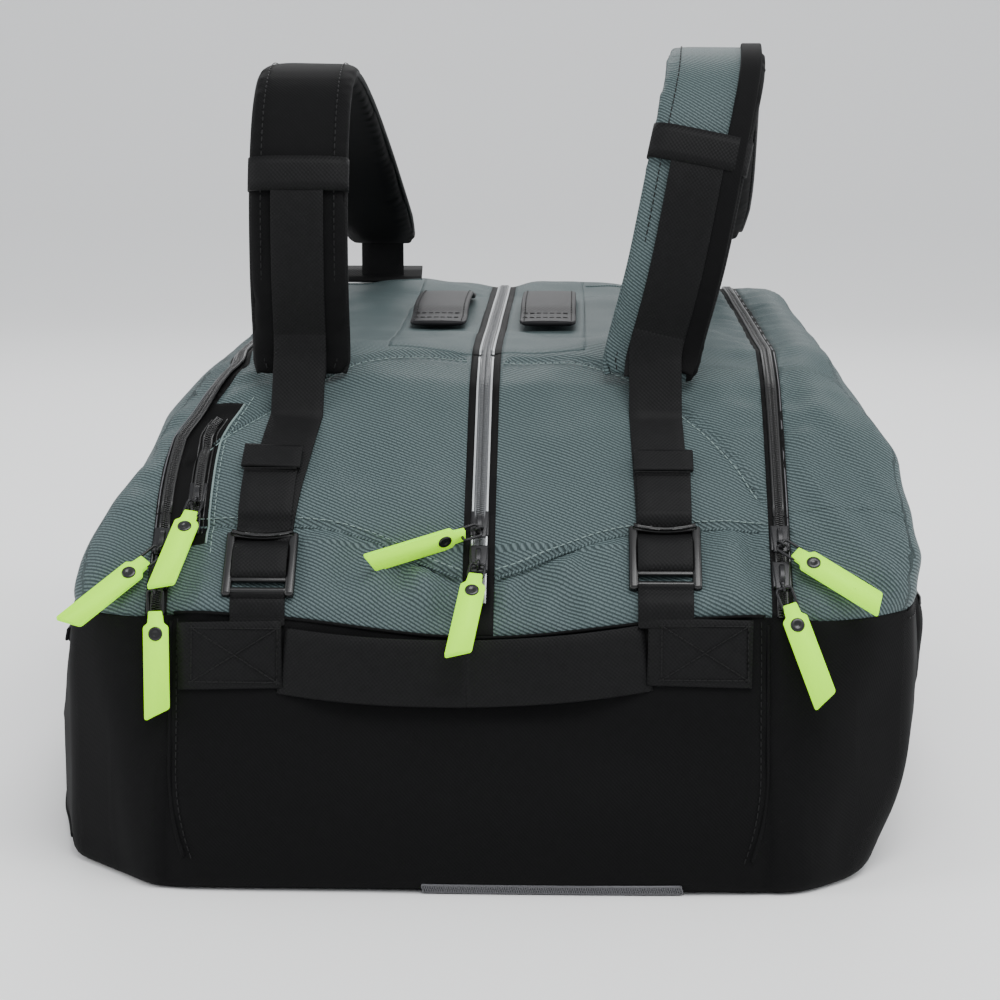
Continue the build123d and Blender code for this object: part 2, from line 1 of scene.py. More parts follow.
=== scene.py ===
# %% [markdown]
# # A padded racket bag, from its CAD frame to its looks
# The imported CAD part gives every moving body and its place. This script builds the soft
# looks around it: one closed fabric skin cut into panels, real zips, webbing and straps.
# Lengths are worked out in millimetres and written to the meshes in metres.

import math

import bmesh
import bpy
import numpy as np
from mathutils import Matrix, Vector, noise


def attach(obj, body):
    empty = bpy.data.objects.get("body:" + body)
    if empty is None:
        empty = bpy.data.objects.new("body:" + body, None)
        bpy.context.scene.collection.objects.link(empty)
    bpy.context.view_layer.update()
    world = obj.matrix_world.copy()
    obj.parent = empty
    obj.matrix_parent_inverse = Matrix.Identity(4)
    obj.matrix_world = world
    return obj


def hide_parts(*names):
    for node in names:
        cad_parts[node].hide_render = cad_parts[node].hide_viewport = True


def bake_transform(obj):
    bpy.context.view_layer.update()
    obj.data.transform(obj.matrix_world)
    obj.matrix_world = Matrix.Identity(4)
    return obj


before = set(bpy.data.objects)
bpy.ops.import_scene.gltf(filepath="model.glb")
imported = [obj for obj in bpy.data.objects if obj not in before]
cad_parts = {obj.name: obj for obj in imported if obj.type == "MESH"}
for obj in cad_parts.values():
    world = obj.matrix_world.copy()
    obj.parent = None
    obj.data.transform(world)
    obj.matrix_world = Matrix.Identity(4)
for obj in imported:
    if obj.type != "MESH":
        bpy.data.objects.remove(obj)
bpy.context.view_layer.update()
MM = 0.001

# %% [markdown]
# ## The form as a distance
# The bag is the common part of three rounded outlines: from the side, from the front and
# from above. Each outline has a signed distance, and a smooth maximum joins the three, so
# the edges come out soft. A ray from inside meets the skin where the distance is zero.
# Boxes with rounded edges would be simpler, but a stuffed bag has no flat side, and one
# distance gives every later seam, zip and strap the same surface to lie on.

# %% Outlines and ray casts
YOKE_Y, YOKE_Z, TOP_Y, TOP_Z = 358.0, 157.0, 220.0, 285.0
BLACK_TOP = 152.0
SIDE = [(395, -30), (359, 157), (306, 211), (240, 266), (196, 285.5), (-196, 285.5), (-240, 266),
        (-306, 211), (-359, 157), (-395, -30)]
CROSS = [(-262, -30), (206, -30), (264, 78), (266, 112), (256, 165), (240, 228), (200, 285),
         (-148, 286), (-196, 235), (-229, 175), (-248, 120), (-266, 50)]
PLAN = [(-178, -388), (178, -388), (246, -330), (266, -235), (272, 0), (266, 235), (246, 330),
        (178, 388), (-178, 388), (-236, 331), (-262, 235), (-268, 0), (-262, -235), (-236, -331)]
SLOPE = math.hypot(YOKE_Y - TOP_Y, TOP_Z - YOKE_Z)
UP = np.array([0.0, (YOKE_Y - TOP_Y) / SLOPE, (TOP_Z - YOKE_Z) / SLOPE])
OUT = np.array([0.0, -UP[2], UP[1]])
LEAN = 30.0 / 157.0      # how far the end panels lean in for each mm up
FRONT_OUT = np.array([0, -1, LEAN]) / math.hypot(1, LEAN)
X_DIR, Z_DIR = np.array([1.0, 0, 0]), np.array([0, 0, 1.0])


def rounded(points, radius):
    """The outline moved in by radius, as edge starts, edge directions and edge normals."""
    pts = np.array(points, float)
    step = np.roll(pts, -1, 0) - pts
    step /= np.linalg.norm(step, axis=1)[:, None]
    normal = np.stack([step[:, 1], -step[:, 0]], 1)
    before = np.roll(normal, 1, 0)
    mitre = (normal + before) / (1 + (normal * before).sum(1))[:, None]
    moved = pts - mitre * radius
    return moved, np.roll(moved, -1, 0), normal, radius


OUTLINES = [(rounded(SIDE, 24.0), 1, 2), (rounded(CROSS, 28.0), 0, 2), (rounded(PLAN, 30.0), 0, 1)]


def outline_distance(outline, uv):
    start, end, normal, radius = outline
    inside = np.full(len(uv), -1e9)
    nearest = np.full(len(uv), 1e9)
    for a, b, n in zip(start, end, normal):
        rel = uv - a
        inside = np.maximum(inside, rel @ n)
        along = b - a
        t = np.clip(rel @ along / (along @ along), 0, 1)
        nearest = np.minimum(nearest, np.linalg.norm(rel - t[:, None] * along, axis=1))
    return np.where(inside < 0, inside, nearest) - radius


def soft_max(a, b, k=16.0):
    h = np.maximum(k - np.abs(a - b), 0) / k
    return np.maximum(a, b) + h * h * k / 4


def form(p):
    """Signed distance of the bag's plain form; below zero is inside."""
    parts = [outline_distance(o, p[:, (i, j)]) for o, i, j in OUTLINES]
    return soft_max(soft_max(soft_max(parts[0], parts[1]), parts[2]), -p[:, 2], 9.0)


def cast(origin, direction, reach=520.0):
    """Where rays from inside leave the form."""
    origin = np.array(origin, float).reshape(-1, 3)
    direction = np.array(direction, float).reshape(-1, 3) * np.ones_like(origin)
    direction = direction / np.linalg.norm(direction, axis=1)[:, None]
    low, high = np.zeros(len(origin)), np.full(len(origin), reach)
    for _ in range(24):
        mid = (low + high) / 2
        out = form(origin + direction * mid[:, None]) > 0
        high = np.where(out, mid, high)
        low = np.where(out, low, mid)
    return origin + direction * low[:, None]


def form_normal(p):
    grad = np.stack([form(p + e) - form(p - e) for e in np.eye(3) * 1.5], 1)
    return grad / np.linalg.norm(grad, axis=1)[:, None]


# %% [markdown]
# ## Folds, bulges and puckers
# Cloth is drawn in along every seam and swells between them. The swelling is calmed where
# buckles, sliders and webbing lie on the cloth, so that these still sit on it. A cloth
# run could find the folds by itself, but written ones stay the same on every build and
# keep the cut panels joined.

# %% Cloth relief
ZIP_LEFT, ZIP_LEFT_TOP, ZIP_RIGHT = -180.0, -150.0, 170.0
BEND_Y = YOKE_Y - UP[1] * 120.0      # where the left zip bends, from the middle
CALM = [(-123, 24, 27, 34), (105, 30, 27, 34), (-180, 34, 15, 34), (170, 36, 15, 34),
        (0, 45, 13, 30), (-163, 70, 13, 24), (-172, 100, 9, 40)]


def zip_x(side, y):
    """Where a side zip runs, as x at a given y."""
    y = np.abs(np.asarray(y, float))
    if side > 0:
        return np.full_like(y, ZIP_RIGHT)
    share = np.clip((BEND_Y - y) / (BEND_Y - TOP_Y + 4), 0, 1)
    return ZIP_LEFT + share * (ZIP_LEFT_TOP - ZIP_LEFT)


def run_of(p):
    return (YOKE_Y - np.abs(p[:, 1])) * UP[1] + (p[:, 2] - YOKE_Z) * UP[2]


def yoke_run(x):
    return 54 - 34 * np.exp(-(np.asarray(x, float) / 58) ** 2)


def arch_run(x):
    x = np.asarray(x, float)
    return np.where(x < 0, 197 - 24 * (x / 85) ** 2, 190 - 29 * np.clip((x - 30) / 66, 0, 2) ** 2)


def lumps(p, sx, sy, sz, seed):
    q = p / np.array([sx, sy, sz]) + seed
    return np.array([noise.noise(Vector(v)) for v in q])


def bump(d, width):
    return np.exp(-(d / width) ** 2)


def relief(p):
    """How far the cloth stands off the plain form, in mm."""
    x, y, z = p.T
    run = run_of(p)
    upper = np.clip((z - BLACK_TOP) / 12, 0, 1)
    end = np.clip((np.abs(y) - 300) / 50, 0, 1) * (1 - upper)
    between = (x > -172) & (x < 162)
    calm = np.ones(len(p))
    for cx, cr, wx, wr in CALM:    # x, run and how far each reaches
        calm *= 1 - bump(x - cx, wx) * bump(run - cr, wr) * (y < 0)
    calm *= 1 - 0.85 * bump(np.abs(x) - 36, 26) * (z > 270) * (np.abs(y) < 110)
    d_left, d_right = x - zip_x(-1, y), x - zip_x(1, y)
    near_zip = np.minimum(np.minimum(np.abs(d_left), np.abs(d_right)), np.abs(x))
    # swells between the seams, with wide, middle and fine lumps
    swell = 4.6 * (1 - bump(near_zip, 19)) * upper
    swell *= 1 - 0.6 * np.clip((np.abs(x) - 190) / 30, 0, 1)
    h = swell * (0.75 + 0.9 * lumps(p, 90, 120, 90, 3.1))
    h += 4.4 * lumps(p, 60, 75, 42, 7.7) * (0.35 + 0.65 * upper) * (1 - 0.8 * bump(near_zip, 10))
    h += 1.5 * lumps(p, 22, 30, 26, 1.3) * (0.25 + 0.75 * upper) * (1 - bump(near_zip, 8))
    # gathers below the yoke seam
    seam = yoke_run(x)
    below = np.clip((seam - run) / 8, 0, 1) * np.clip((run + 14) / 14, 0, 1) * between * (y < 0)
    pleat = np.sin((x + 14 * lumps(p, 40, 40, 30, 9.2)) / 5.2) * bump(run - seam + 10, 16)
    h += below * (3.0 * pleat + 5.0 * lumps(p, 17, 34, 34, 5.5))
    # puckers beside the zips
    pucker = bump(near_zip - 15, 9) * upper * (np.abs(x) > 60)
    h += pucker * 1.1 * np.sin(np.where(np.abs(y) < TOP_Y, y, run) / 4.6
                               + 4 * lumps(p, 60, 60, 60, 2.2))
    # long leaning folds on the side lids: side, inner edge, height, lean, width, seed
    for side, edge, high, lean, wide, seed in ((1, 176, 2.6, 0.9, 16, 4.4),
                                               (-1, 186, 2.0, -0.7, 20, 6.4)):
        pod = np.clip((side * x - edge) / 18, 0, 1) * upper
        h += pod * high * lumps(np.stack([x + z * lean, y, z * 0.2], 1), wide, 90, 90, seed)
    h *= calm
    # the end panel's bulge, then the seams that draw the cloth in
    h += 9.0 * end * bump(z - 38, 40) * np.clip(1 - (x / 205) ** 2, 0, 1)
    h -= 2.6 * bump(run - seam, 3.8) * between * (y < 0) * (run > 4)
    s = run + np.where(np.abs(y) < TOP_Y, TOP_Y - np.abs(y), 0) * (1 - UP[1])
    h -= 2.4 * bump(s - arch_run(x), 3.8) * between * (np.abs(x) > 12) * (y < 0)
    h -= 1.5 * bump(z - BLACK_TOP, 3.0) * np.clip(np.abs(x) / 200, 0.4, 1)
    for cx in (-172.0, 162.0):
        h -= 2.4 * bump(x - cx, 4.0) * end
    floor = np.clip(z / 9, 0, 1)
    return h * floor


def dressed(p):
    """Points of the plain form, moved to the cloth, with their outward normals."""
    n = form_normal(p)
    return p + n * relief(p)[:, None], n


def profile(x, s):
    """Cloth point at x across and s along the front: below 0 on the end panel, then up the
    slope, then back along the top."""
    x, s = np.broadcast_arrays(np.asarray(x, float), np.asarray(s, float))
    origin, direction = [], []
    for xi, si in zip(x, s):
        if si < 0:
            q = np.array([xi, -YOKE_Y + LEAN * si * 0.982, YOKE_Z + si * 0.982])
            w = np.clip(0.5 - si / 24, 0, 1)
            d = FRONT_OUT * w + OUT * (1 - w)
        elif si < SLOPE:
            q = np.array([xi, -YOKE_Y, YOKE_Z]) + UP * si
            w0, w1 = np.clip(0.5 - si / 24, 0, 1), np.clip(0.5 - (SLOPE - si) / 30, 0, 1)
            d = OUT * (1 - w0 - w1) + FRONT_OUT * w0 + np.array([0, 0, 1]) * w1
        else:
            q = np.array([xi, -TOP_Y + si - SLOPE, TOP_Z])
            w = np.clip(0.5 + (si - SLOPE) / 30, 0, 1)
            d = OUT * (1 - w) + np.array([0, 0, 1]) * w
        d = d / np.linalg.norm(d)
        origin.append(q - d * 45)
        direction.append(d)
    return dressed(cast(origin, direction, 90))


def flank(side, y, z):
    """Cloth point on a side wall."""
    y, z = np.broadcast_arrays(np.asarray(y, float), np.asarray(z, float))
    origin = np.stack([np.full(y.shape, side * 60.0), y, np.minimum(z, 200)], 1)
    target = np.stack([np.full(y.shape, side * 300.0), y, z], 1)
    return dressed(cast(origin, target - origin, 520))


print("slope length", round(SLOPE, 1), "mm")

# %% [markdown]
# ## Materials
# Shared effects are node groups: a ribbed weave, a plain weave and handling wear. Each
# material mixes their masks into its own colour and bump. Woven cloth could be modelled
# thread by thread, but its rib is finer than the mesh, so the weave is left to the shader.

# %% Node groups and materials


def new_group(name, inputs, outputs):
    group = bpy.data.node_groups.new(name, "ShaderNodeTree")
    for label, kind, value in inputs:
        socket = group.interface.new_socket(label, in_out="INPUT", socket_type=kind)
        if value is not None:
            socket.default_value = value
    for label, kind in outputs:
        group.interface.new_socket(label, in_out="OUTPUT", socket_type=kind)
    gi, go = group.nodes.new("NodeGroupInput"), group.nodes.new("NodeGroupOutput")
    return group, gi, go


def add_node(tree, kind, values=None, wires=None, **fields):
    """A new node with its fields set, its input values filled and its inputs wired."""
    node = tree.nodes.new("ShaderNode" + kind)
    for field, value in fields.items():
        setattr(node, field, value)
    for label, value in (values or {}).items():
        node.inputs[label].default_value = value
    for label, socket in (wires or {}).items():
        tree.links.new(socket, node.inputs[label])
    return node


def rib_group():
    group, gi, go = new_group(
        "rib_weave", [("Turn", "NodeSocketFloat", 0.5), ("Scale", "NodeSocketFloat", 1350.0)],
        [("Rib", "NodeSocketFloat"), ("Fleck", "NodeSocketFloat")])
    uv = add_node(group, "UVMap", uv_map="cloth")
    turn = add_node(group, "VectorRotate", rotation_type="Z_AXIS",
                    wires={"Vector": uv.outputs[0], "Angle": gi.outputs["Turn"]})
    size = add_node(group, "VectorMath", operation="SCALE",
                    wires={0: turn.outputs[0], "Scale": gi.outputs["Scale"]})
    place = {"Vector": size.outputs[0]}
    wave = add_node(group, "TexWave", wave_type="BANDS", bands_direction="Y",
                    wave_profile="SIN", wires=place,
                    values={"Scale": 0.126, "Distortion": 0.5, "Detail": 2.0,
                            "Detail Scale": 3.0})
    dash = add_node(group, "TexBrick", offset=0.37, wires=place,
                    values={"Scale": 1.0, "Mortar Size": 0.5, "Mortar Smooth": 1.0,
                            "Brick Width": 4.6, "Row Height": 2.5})
    rib = add_node(group, "Math", {1: -0.5}, {0: dash.outputs["Fac"], 2: wave.outputs["Fac"]},
                   operation="MULTIPLY_ADD")
    fine = add_node(group, "TexNoise", {"Scale": 0.9, "Detail": 3.0}, place)
    group.links.new(rib.outputs[0], go.inputs["Rib"])
    group.links.new(fine.outputs[0], go.inputs["Fleck"])
    return group


def weave_group():
    group, gi, go = new_group("plain_weave", [("Pitch", "NodeSocketFloat", 900.0)],
                              [("Weave", "NodeSocketFloat"), ("Fleck", "NodeSocketFloat")])
    uv = add_node(group, "UVMap", uv_map="cloth")
    split = add_node(group, "SeparateXYZ", wires={0: uv.outputs[0]})
    waves = []
    for axis in (0, 1):
        grow = add_node(group, "Math", operation="MULTIPLY",
                        wires={0: split.outputs[axis], 1: gi.outputs["Pitch"]})
        waves.append(add_node(group, "Math", operation="SINE", wires={0: grow.outputs[0]}))
    both = add_node(group, "Math", operation="MULTIPLY",
                    wires={0: waves[0].outputs[0], 1: waves[1].outputs[0]})
    half = add_node(group, "Math", {1: 0.5, 2: 0.5}, {0: both.outputs[0]},
                    operation="MULTIPLY_ADD")
    fleck = add_node(group, "TexNoise", {"Scale": 160.0, "Detail": 4.0},
                     {"Vector": uv.outputs[0]})
    group.links.new(half.outputs[0], go.inputs["Weave"])
    group.links.new(fleck.outputs[0], go.inputs["Fleck"])
    return group


def wear_group():
    group, gi, go = new_group("handling_wear", [("Amount", "NodeSocketFloat", 0.5)],
                              [("Wear", "NodeSocketFloat")])
    place = add_node(group, "TexCoord")
    geometry = add_node(group, "NewGeometry")
    patch = add_node(group, "TexNoise", {"Scale": 38.0, "Detail": 6.0},
                     {"Vector": place.outputs["Object"]})
    edge = add_node(group, "MapRange", {"From Min": 0.5, "From Max": 0.62},
                    {"Value": geometry.outputs["Pointiness"]})
    mix = add_node(group, "Math", operation="MULTIPLY",
                   wires={0: edge.outputs[0], 1: patch.outputs[0]})
    amount = add_node(group, "Math", operation="MULTIPLY",
                      wires={0: mix.outputs[0], 1: gi.outputs["Amount"]})
    group.links.new(amount.outputs[0], go.inputs["Wear"])
    return group


RIB, WEAVE, WEAR = rib_group(), weave_group(), wear_group()


def material(name, dark, light, rough, group=None, settings=(), bump_mm=0.0, sheen=0.0,
             metallic=0.0, specular=0.5, wear=0.1, glow=0.0):
    """One surface: the group's first mask mixes dark into light and lifts the bump."""
    mat = bpy.data.materials.new(name)
    mat.use_nodes = True
    tree = mat.node_tree
    shader = tree.nodes["Principled BSDF"]
    link = tree.links.new
    shader.inputs["Roughness"].default_value = rough
    shader.inputs["Metallic"].default_value = metallic
    shader.inputs["Specular IOR Level"].default_value = specular
    shader.inputs["Sheen Weight"].default_value = sheen
    shader.inputs["Sheen Roughness"].default_value = 0.4
    # Emission here is painted light: the surface glows as if brightly lit, though it is no lamp.
    if glow:
        shader.inputs["Emission Color"].default_value = (*light, 1)
        shader.inputs["Emission Strength"].default_value = glow
    worn = add_node(tree, "Group", node_tree=WEAR)
    worn.inputs["Amount"].default_value = wear
    colour = add_node(tree, "Mix", {6: (*dark, 1), 7: (*light, 1)}, data_type="RGBA")
    if group:
        cloth = add_node(tree, "Group", dict(settings), node_tree=group)
        vary = add_node(tree, "Math", {1: 0.6}, {0: cloth.outputs["Fleck"], 2: cloth.outputs[0]},
                        operation="MULTIPLY_ADD")
        mask = add_node(tree, "Math", {1: 0.3}, {0: vary.outputs[0]}, operation="SUBTRACT",
                        use_clamp=True)
        height, strength = vary, 0.8
    else:
        place = add_node(tree, "TexCoord")
        mask = add_node(tree, "TexNoise", {"Scale": 900.0}, {"Vector": place.outputs["Object"]})
        height, strength, bump_mm = mask, 0.25, max(bump_mm, 0.02)
    link(mask.outputs[0], colour.inputs[0])
    raised = add_node(tree, "Bump", {"Distance": bump_mm * MM, "Strength": strength},
                      {"Height": height.outputs[0]})
    link(raised.outputs[0], shader.inputs["Normal"])
    lift = add_node(tree, "Mix", {7: (0.05, 0.05, 0.05, 1)},
                    {0: worn.outputs[0], 6: colour.outputs[2]}, data_type="RGBA",
                    blend_type="ADD")
    link(lift.outputs[2], shader.inputs["Base Color"])
    return mat


GREEN = material("ribbed_green", (0.032, 0.047, 0.049), (0.108, 0.146, 0.149), 0.5, RIB,
                 (("Turn", 0.45),), 0.26, specular=0.1, wear=0.05)
BLACK = material("black_cloth", (0.0006, 0.0006, 0.0007), (0.0026, 0.0026, 0.003), 0.8, WEAVE,
                 (("Pitch", 2800.0),), 0.08, specular=0.14, wear=0.03)
WEBBING = material("black_webbing", (0.0006, 0.0006, 0.0007), (0.005, 0.005, 0.0055), 0.6, WEAVE,
                   (("Pitch", 2600.0),), 0.20, specular=0.16, wear=0.04)
SATIN = material("charcoal_satin", (0.008, 0.008, 0.009), (0.017, 0.017, 0.019), 0.5, WEAVE,
                 (("Pitch", 2200.0),), 0.10, specular=0.12, wear=0.05)
TAPE_MAT = material("zip_tape", (0.001, 0.001, 0.001), (0.003, 0.003, 0.0033), 0.7, WEAVE,
                    (("Pitch", 3600.0),), 0.06, specular=0.12)
SILVER = material("silver_stripe", (0.40, 0.42, 0.43), (0.62, 0.64, 0.65), 0.3, metallic=0.3)
COIL_GREY = material("grey_coil", (0.05, 0.05, 0.055), (0.11, 0.11, 0.12), 0.4)
COIL_SILVER = material("silver_coil", (0.05, 0.052, 0.055), (0.13, 0.135, 0.14), 0.35,
                       metallic=0.2)
COIL_BLACK = material("black_coil", (0.003, 0.003, 0.003), (0.009, 0.009, 0.0095), 0.35)
THREAD = material("thread", (0.13, 0.18, 0.175), (0.22, 0.29, 0.28), 0.6, specular=0.2)
THREAD_DARK = material("dark_thread", (0.002, 0.002, 0.002), (0.006, 0.006, 0.0065), 0.6,
                       specular=0.2)
PLASTIC = material("black_plastic", (0.0015, 0.0015, 0.0016), (0.003, 0.003, 0.0033), 0.3)
METAL = material("dark_metal", (0.012, 0.012, 0.013), (0.025, 0.025, 0.027), 0.34, metallic=0.5)
# The neon rubber also emits light at strength 0.6, a painted glow that brightens the pulls; it is
# no lamp.
NEON = material("neon_rubber", (0.34, 0.86, 0.0), (0.42, 0.95, 0.0), 0.5, specular=0.15,
                glow=0.6)
LINING = material("lining", (0.02, 0.02, 0.022), (0.05, 0.05, 0.055), 0.7, WEAVE,
                  (("Pitch", 2500.0),), 0.08)
print("materials", len(bpy.data.materials))

# %% [markdown]
# ## Building blocks
# `Shape` gathers parts of one mesh. `sweep` carries a closed section along a path on the
# cloth, which makes cords, webbing and tape. `scatter` repeats a small template, which
# makes stitches and zip teeth. A second coordinate set named `cloth` carries the weave.
# Curves with a bevel could make the cords too, but plain meshes export as they are.

# %% Mesh helpers


def lay_uv(mesh, uv):
    """Give every corner of the mesh the weave coordinate of its vertex."""
    layer = mesh.uv_layers.get("cloth") or mesh.uv_layers.new(name="cloth")
    index = np.empty(len(mesh.loops), dtype=np.int32)
    mesh.loops.foreach_get("vertex_index", index)
    layer.data.foreach_set("uv", uv[index].astype(np.float32).ravel())


def run_length(points):
    """Distance along a line of points, from 0 at the first."""
    return np.concatenate([[0], np.cumsum(np.linalg.norm(np.diff(points, axis=0), axis=1))])


class Shape:
    def __init__(self):
        self.verts, self.faces, self.uvs = [], [], []
        self.count = 0

    def add(self, verts, faces, uvs=None):
        verts = np.asarray(verts, float)
        base = self.count
        self.verts.append(verts)
        self.faces += [tuple(base + i for i in f) for f in faces]
        if uvs is None:
            uvs = verts[:, [0, 1]] + verts[:, [2, 2]] * 0.5
        self.uvs.append(np.asarray(uvs, float))
        self.count += len(verts)

    def object(self, name, mat, smooth=True):
        mesh = bpy.data.meshes.new(name)
        verts = np.concatenate(self.verts) * MM
        mesh.from_pydata(verts.tolist(), [], self.faces)
        uvs = np.concatenate(self.uvs) * MM
        lay_uv(mesh, uvs)
        mesh.materials.append(mat)
        mesh.polygons.foreach_set("use_smooth", [smooth] * len(mesh.polygons))
        obj = bpy.data.objects.new(name, mesh)
        bpy.context.scene.collection.objects.link(obj)
        return obj


def frames(points, normals):
    points = np.asarray(points, float)
    tangent = np.gradient(points, axis=0)
    tangent /= np.linalg.norm(tangent, axis=1)[:, None] + 1e-9
    normals = np.asarray(normals, float) * np.ones_like(points)
    normals = normals - tangent * (normals * tangent).sum(1)[:, None]
    normals /= np.linalg.norm(normals, axis=1)[:, None] + 1e-9
    return points, tangent, normals, np.cross(tangent, normals)


def sweep(shape, points, normals, section, scale=None, thin=None):
    """Carry a closed section (across, out) along the points, with capped ends."""
    points, _, normals, across = frames(points, normals)
    section = np.asarray(section, float)
    m, k = len(points), len(section)
    scale = np.ones(m) if scale is None else scale
    thin = np.ones(m) if thin is None else thin
    length = run_length(points)
    verts, uvs = [], []
    for i in range(m):
        for a, b in section:
            verts.append(points[i] + across[i] * a * scale[i] + normals[i] * b * thin[i])
            uvs.append((a, length[i]))
    faces = [(i * k + j, (i + 1) * k + j, (i + 1) * k + (j + 1) % k, i * k + (j + 1) % k)
             for i in range(m - 1) for j in range(k)]
    faces += [tuple(range(k)), tuple((m - 1) * k + j for j in reversed(range(k)))]
    shape.add(verts, faces, uvs)


def round_section(radius, lift=0.0, count=8):
    return [(radius * math.cos(t), lift + radius * math.sin(t))
            for t in [2 * math.pi * (i + 0.5) / count for i in range(count)]]


def strap_section(width, thick, lift=0.0, edge=None, bow=0.0):
    """Flat section with rounded edges, its underside at lift, a little thinner at the rim."""
    e = edge if edge is not None else thick * 0.45
    w, low, high = width / 2, lift, lift + thick
    line = [(-w, low + thick / 2), (-w + e * 0.3, low + thick * 0.15), (-w + e, low)]
    line += [(w * f, low - bow * (1 - f * f)) for f in (-0.6, -0.2, 0.2, 0.6)]
    line += [(w - e, low), (w - e * 0.3, low + thick * 0.15), (w, low + thick / 2),
             (w - e * 0.3, high - thick * 0.15), (w - e, high)]
    line += [(w * f, high + bow * (1 - f * f)) for f in (0.6, 0.2, -0.2, -0.6)]
    line += [(-w + e, high), (-w + e * 0.3, high - thick * 0.15)]
    return line


def capsule(length, width, height):
    """Small rounded bar along X."""
    verts, faces = [], []
    for x, f in ((-length / 2, 0.45), (-length / 2 + width * 0.4, 1), (length / 2 - width * 0.4, 1),
                 (length / 2, 0.45)):
        verts += [(x, f * width / 2 * math.cos(a), f * height / 2 * math.sin(a))
                  for a in [math.pi / 3 * j for j in range(6)]]
    for i in range(3):
        faces += [(i * 6 + j, (i + 1) * 6 + j, (i + 1) * 6 + (j + 1) % 6, i * 6 + (j + 1) % 6)
                  for j in range(6)]
    faces += [tuple(range(6)), tuple(reversed(range(18, 24)))]
    return np.array(verts), faces


def scatter(shape, template, places):
    """Repeat a template at frames (point, along, across, out)."""
    verts, faces = template
    for point, along, across, out in places:
        basis = np.stack([along, across, out])
        shape.add(verts @ basis + point, faces)


def resample(points, normals, step, offset=0.0):
    """Points every step along the line, with the normals between."""
    points = np.asarray(points, float)
    normals = np.asarray(normals, float) * np.ones_like(points)
    length = run_length(points)
    at = np.arange(offset, length[-1], step)
    p = np.stack([np.interp(at, length, points[:, i]) for i in range(3)], 1)
    n = np.stack([np.interp(at, length, normals[:, i]) for i in range(3)], 1)
    return p, n


def spaced(points, normals, step=8):
    """The line at even steps, with its normals and the direction across it."""
    q, _, m, across = frames(*resample(points, normals, step))
    return q, m, across


def flat(half, low, high):
    """Plain rectangular section."""
    return [(-half, low), (half, low), (half, high), (-half, high)]


def end_taper(count, over):
    """1 along the middle of a line, falling to 0 over its first and last few points."""
    steps = np.arange(count)
    return np.clip(np.minimum(steps, steps[::-1]) / over, 0, 1)


STITCH = capsule(3.1, 0.75, 0.55)


def stitches(shape, points, normals, lift=0.35, step=4.4, shift=0.0):
    p, n = resample(points, normals, step)
    if len(p) < 2:
        return
    p, tangent, n, across = frames(p, n)
    p = p + n * lift + across * shift
    scatter(shape, STITCH, list(zip(p, tangent, across, n)))


def smooth_path(points, count):
    """Catmull-Rom curve through the points."""
    pts = np.asarray(points, float)
    ext = np.vstack([2 * pts[0] - pts[1], pts, 2 * pts[-1] - pts[-2]])
    out = []
    for t in np.linspace(0, len(pts) - 1 - 1e-6, count):
        i, f = int(t), t - int(t)
        a, b, c, d = ext[i:i + 4]
        out.append(0.5 * (2 * b + (c - a) * f + (2 * a - 5 * b + 4 * c - d) * f * f
                          + (3 * b - a - 3 * c + d) * f ** 3))
    return np.array(out)


def finish_piece(obj, body, slot, *nodes):
    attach(obj, body)
    if nodes:
        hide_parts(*nodes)
    return obj


print("helpers ready")

# %% [markdown]
# ## The skin
# A box of square cells is thrown outwards onto the form, then cut along every zip, fold
# line and panel edge. Only after the cuts is the cloth relief laid over it, so neighbouring
# panels always meet. The front edge of the black cloth dips in the middle. Separate
# panels could be modelled one by one, but their edges would then part or overlap.

# %% Skin mesh and cuts
CELL = 4.6
HX, HY = 270.0, 388.0
SIDE_TAPE, CENTRE_TAPE = 6, 9        # half the width of a side zip's and the middle zip's tape
FOLD_X, FOLD_Y = 60, 204             # fold lines of the middle lids
LID_RUN = 62.0                       # where the side lids begin, up the slope
POCKET_EDGE = -155                   # inner edge of the dark strip of the pocket zip
POCKET_RUN = (40, 146)               # its two ends, up the slope


def box_cells():
    xs = np.linspace(-HX, HX, int(2 * HX / CELL) + 1)
    ys = np.linspace(-HY, HY, int(2 * HY / CELL) + 1)
    zs = np.linspace(0, TOP_Z, int(TOP_Z / CELL) + 1)
    made = bmesh.new()
    for fixed, a, b, make in (
            (TOP_Z, xs, ys, lambda u, v, w: (u, v, w)), (0, xs, ys, lambda u, v, w: (u, v, w)),
            (-HX, ys, zs, lambda u, v, w: (w, u, v)), (HX, ys, zs, lambda u, v, w: (w, u, v)),
            (-HY, xs, zs, lambda u, v, w: (u, w, v)), (HY, xs, zs, lambda u, v, w: (u, w, v))):
        grid = [[made.verts.new(make(u, v, fixed)) for v in b] for u in a]
        for i in range(len(a) - 1):
            for j in range(len(b) - 1):
                made.faces.new((grid[i][j], grid[i + 1][j], grid[i + 1][j + 1], grid[i][j + 1]))
    bmesh.ops.remove_doubles(made, verts=made.verts, dist=0.01)
    bmesh.ops.recalc_face_normals(made, faces=made.faces)
    return made


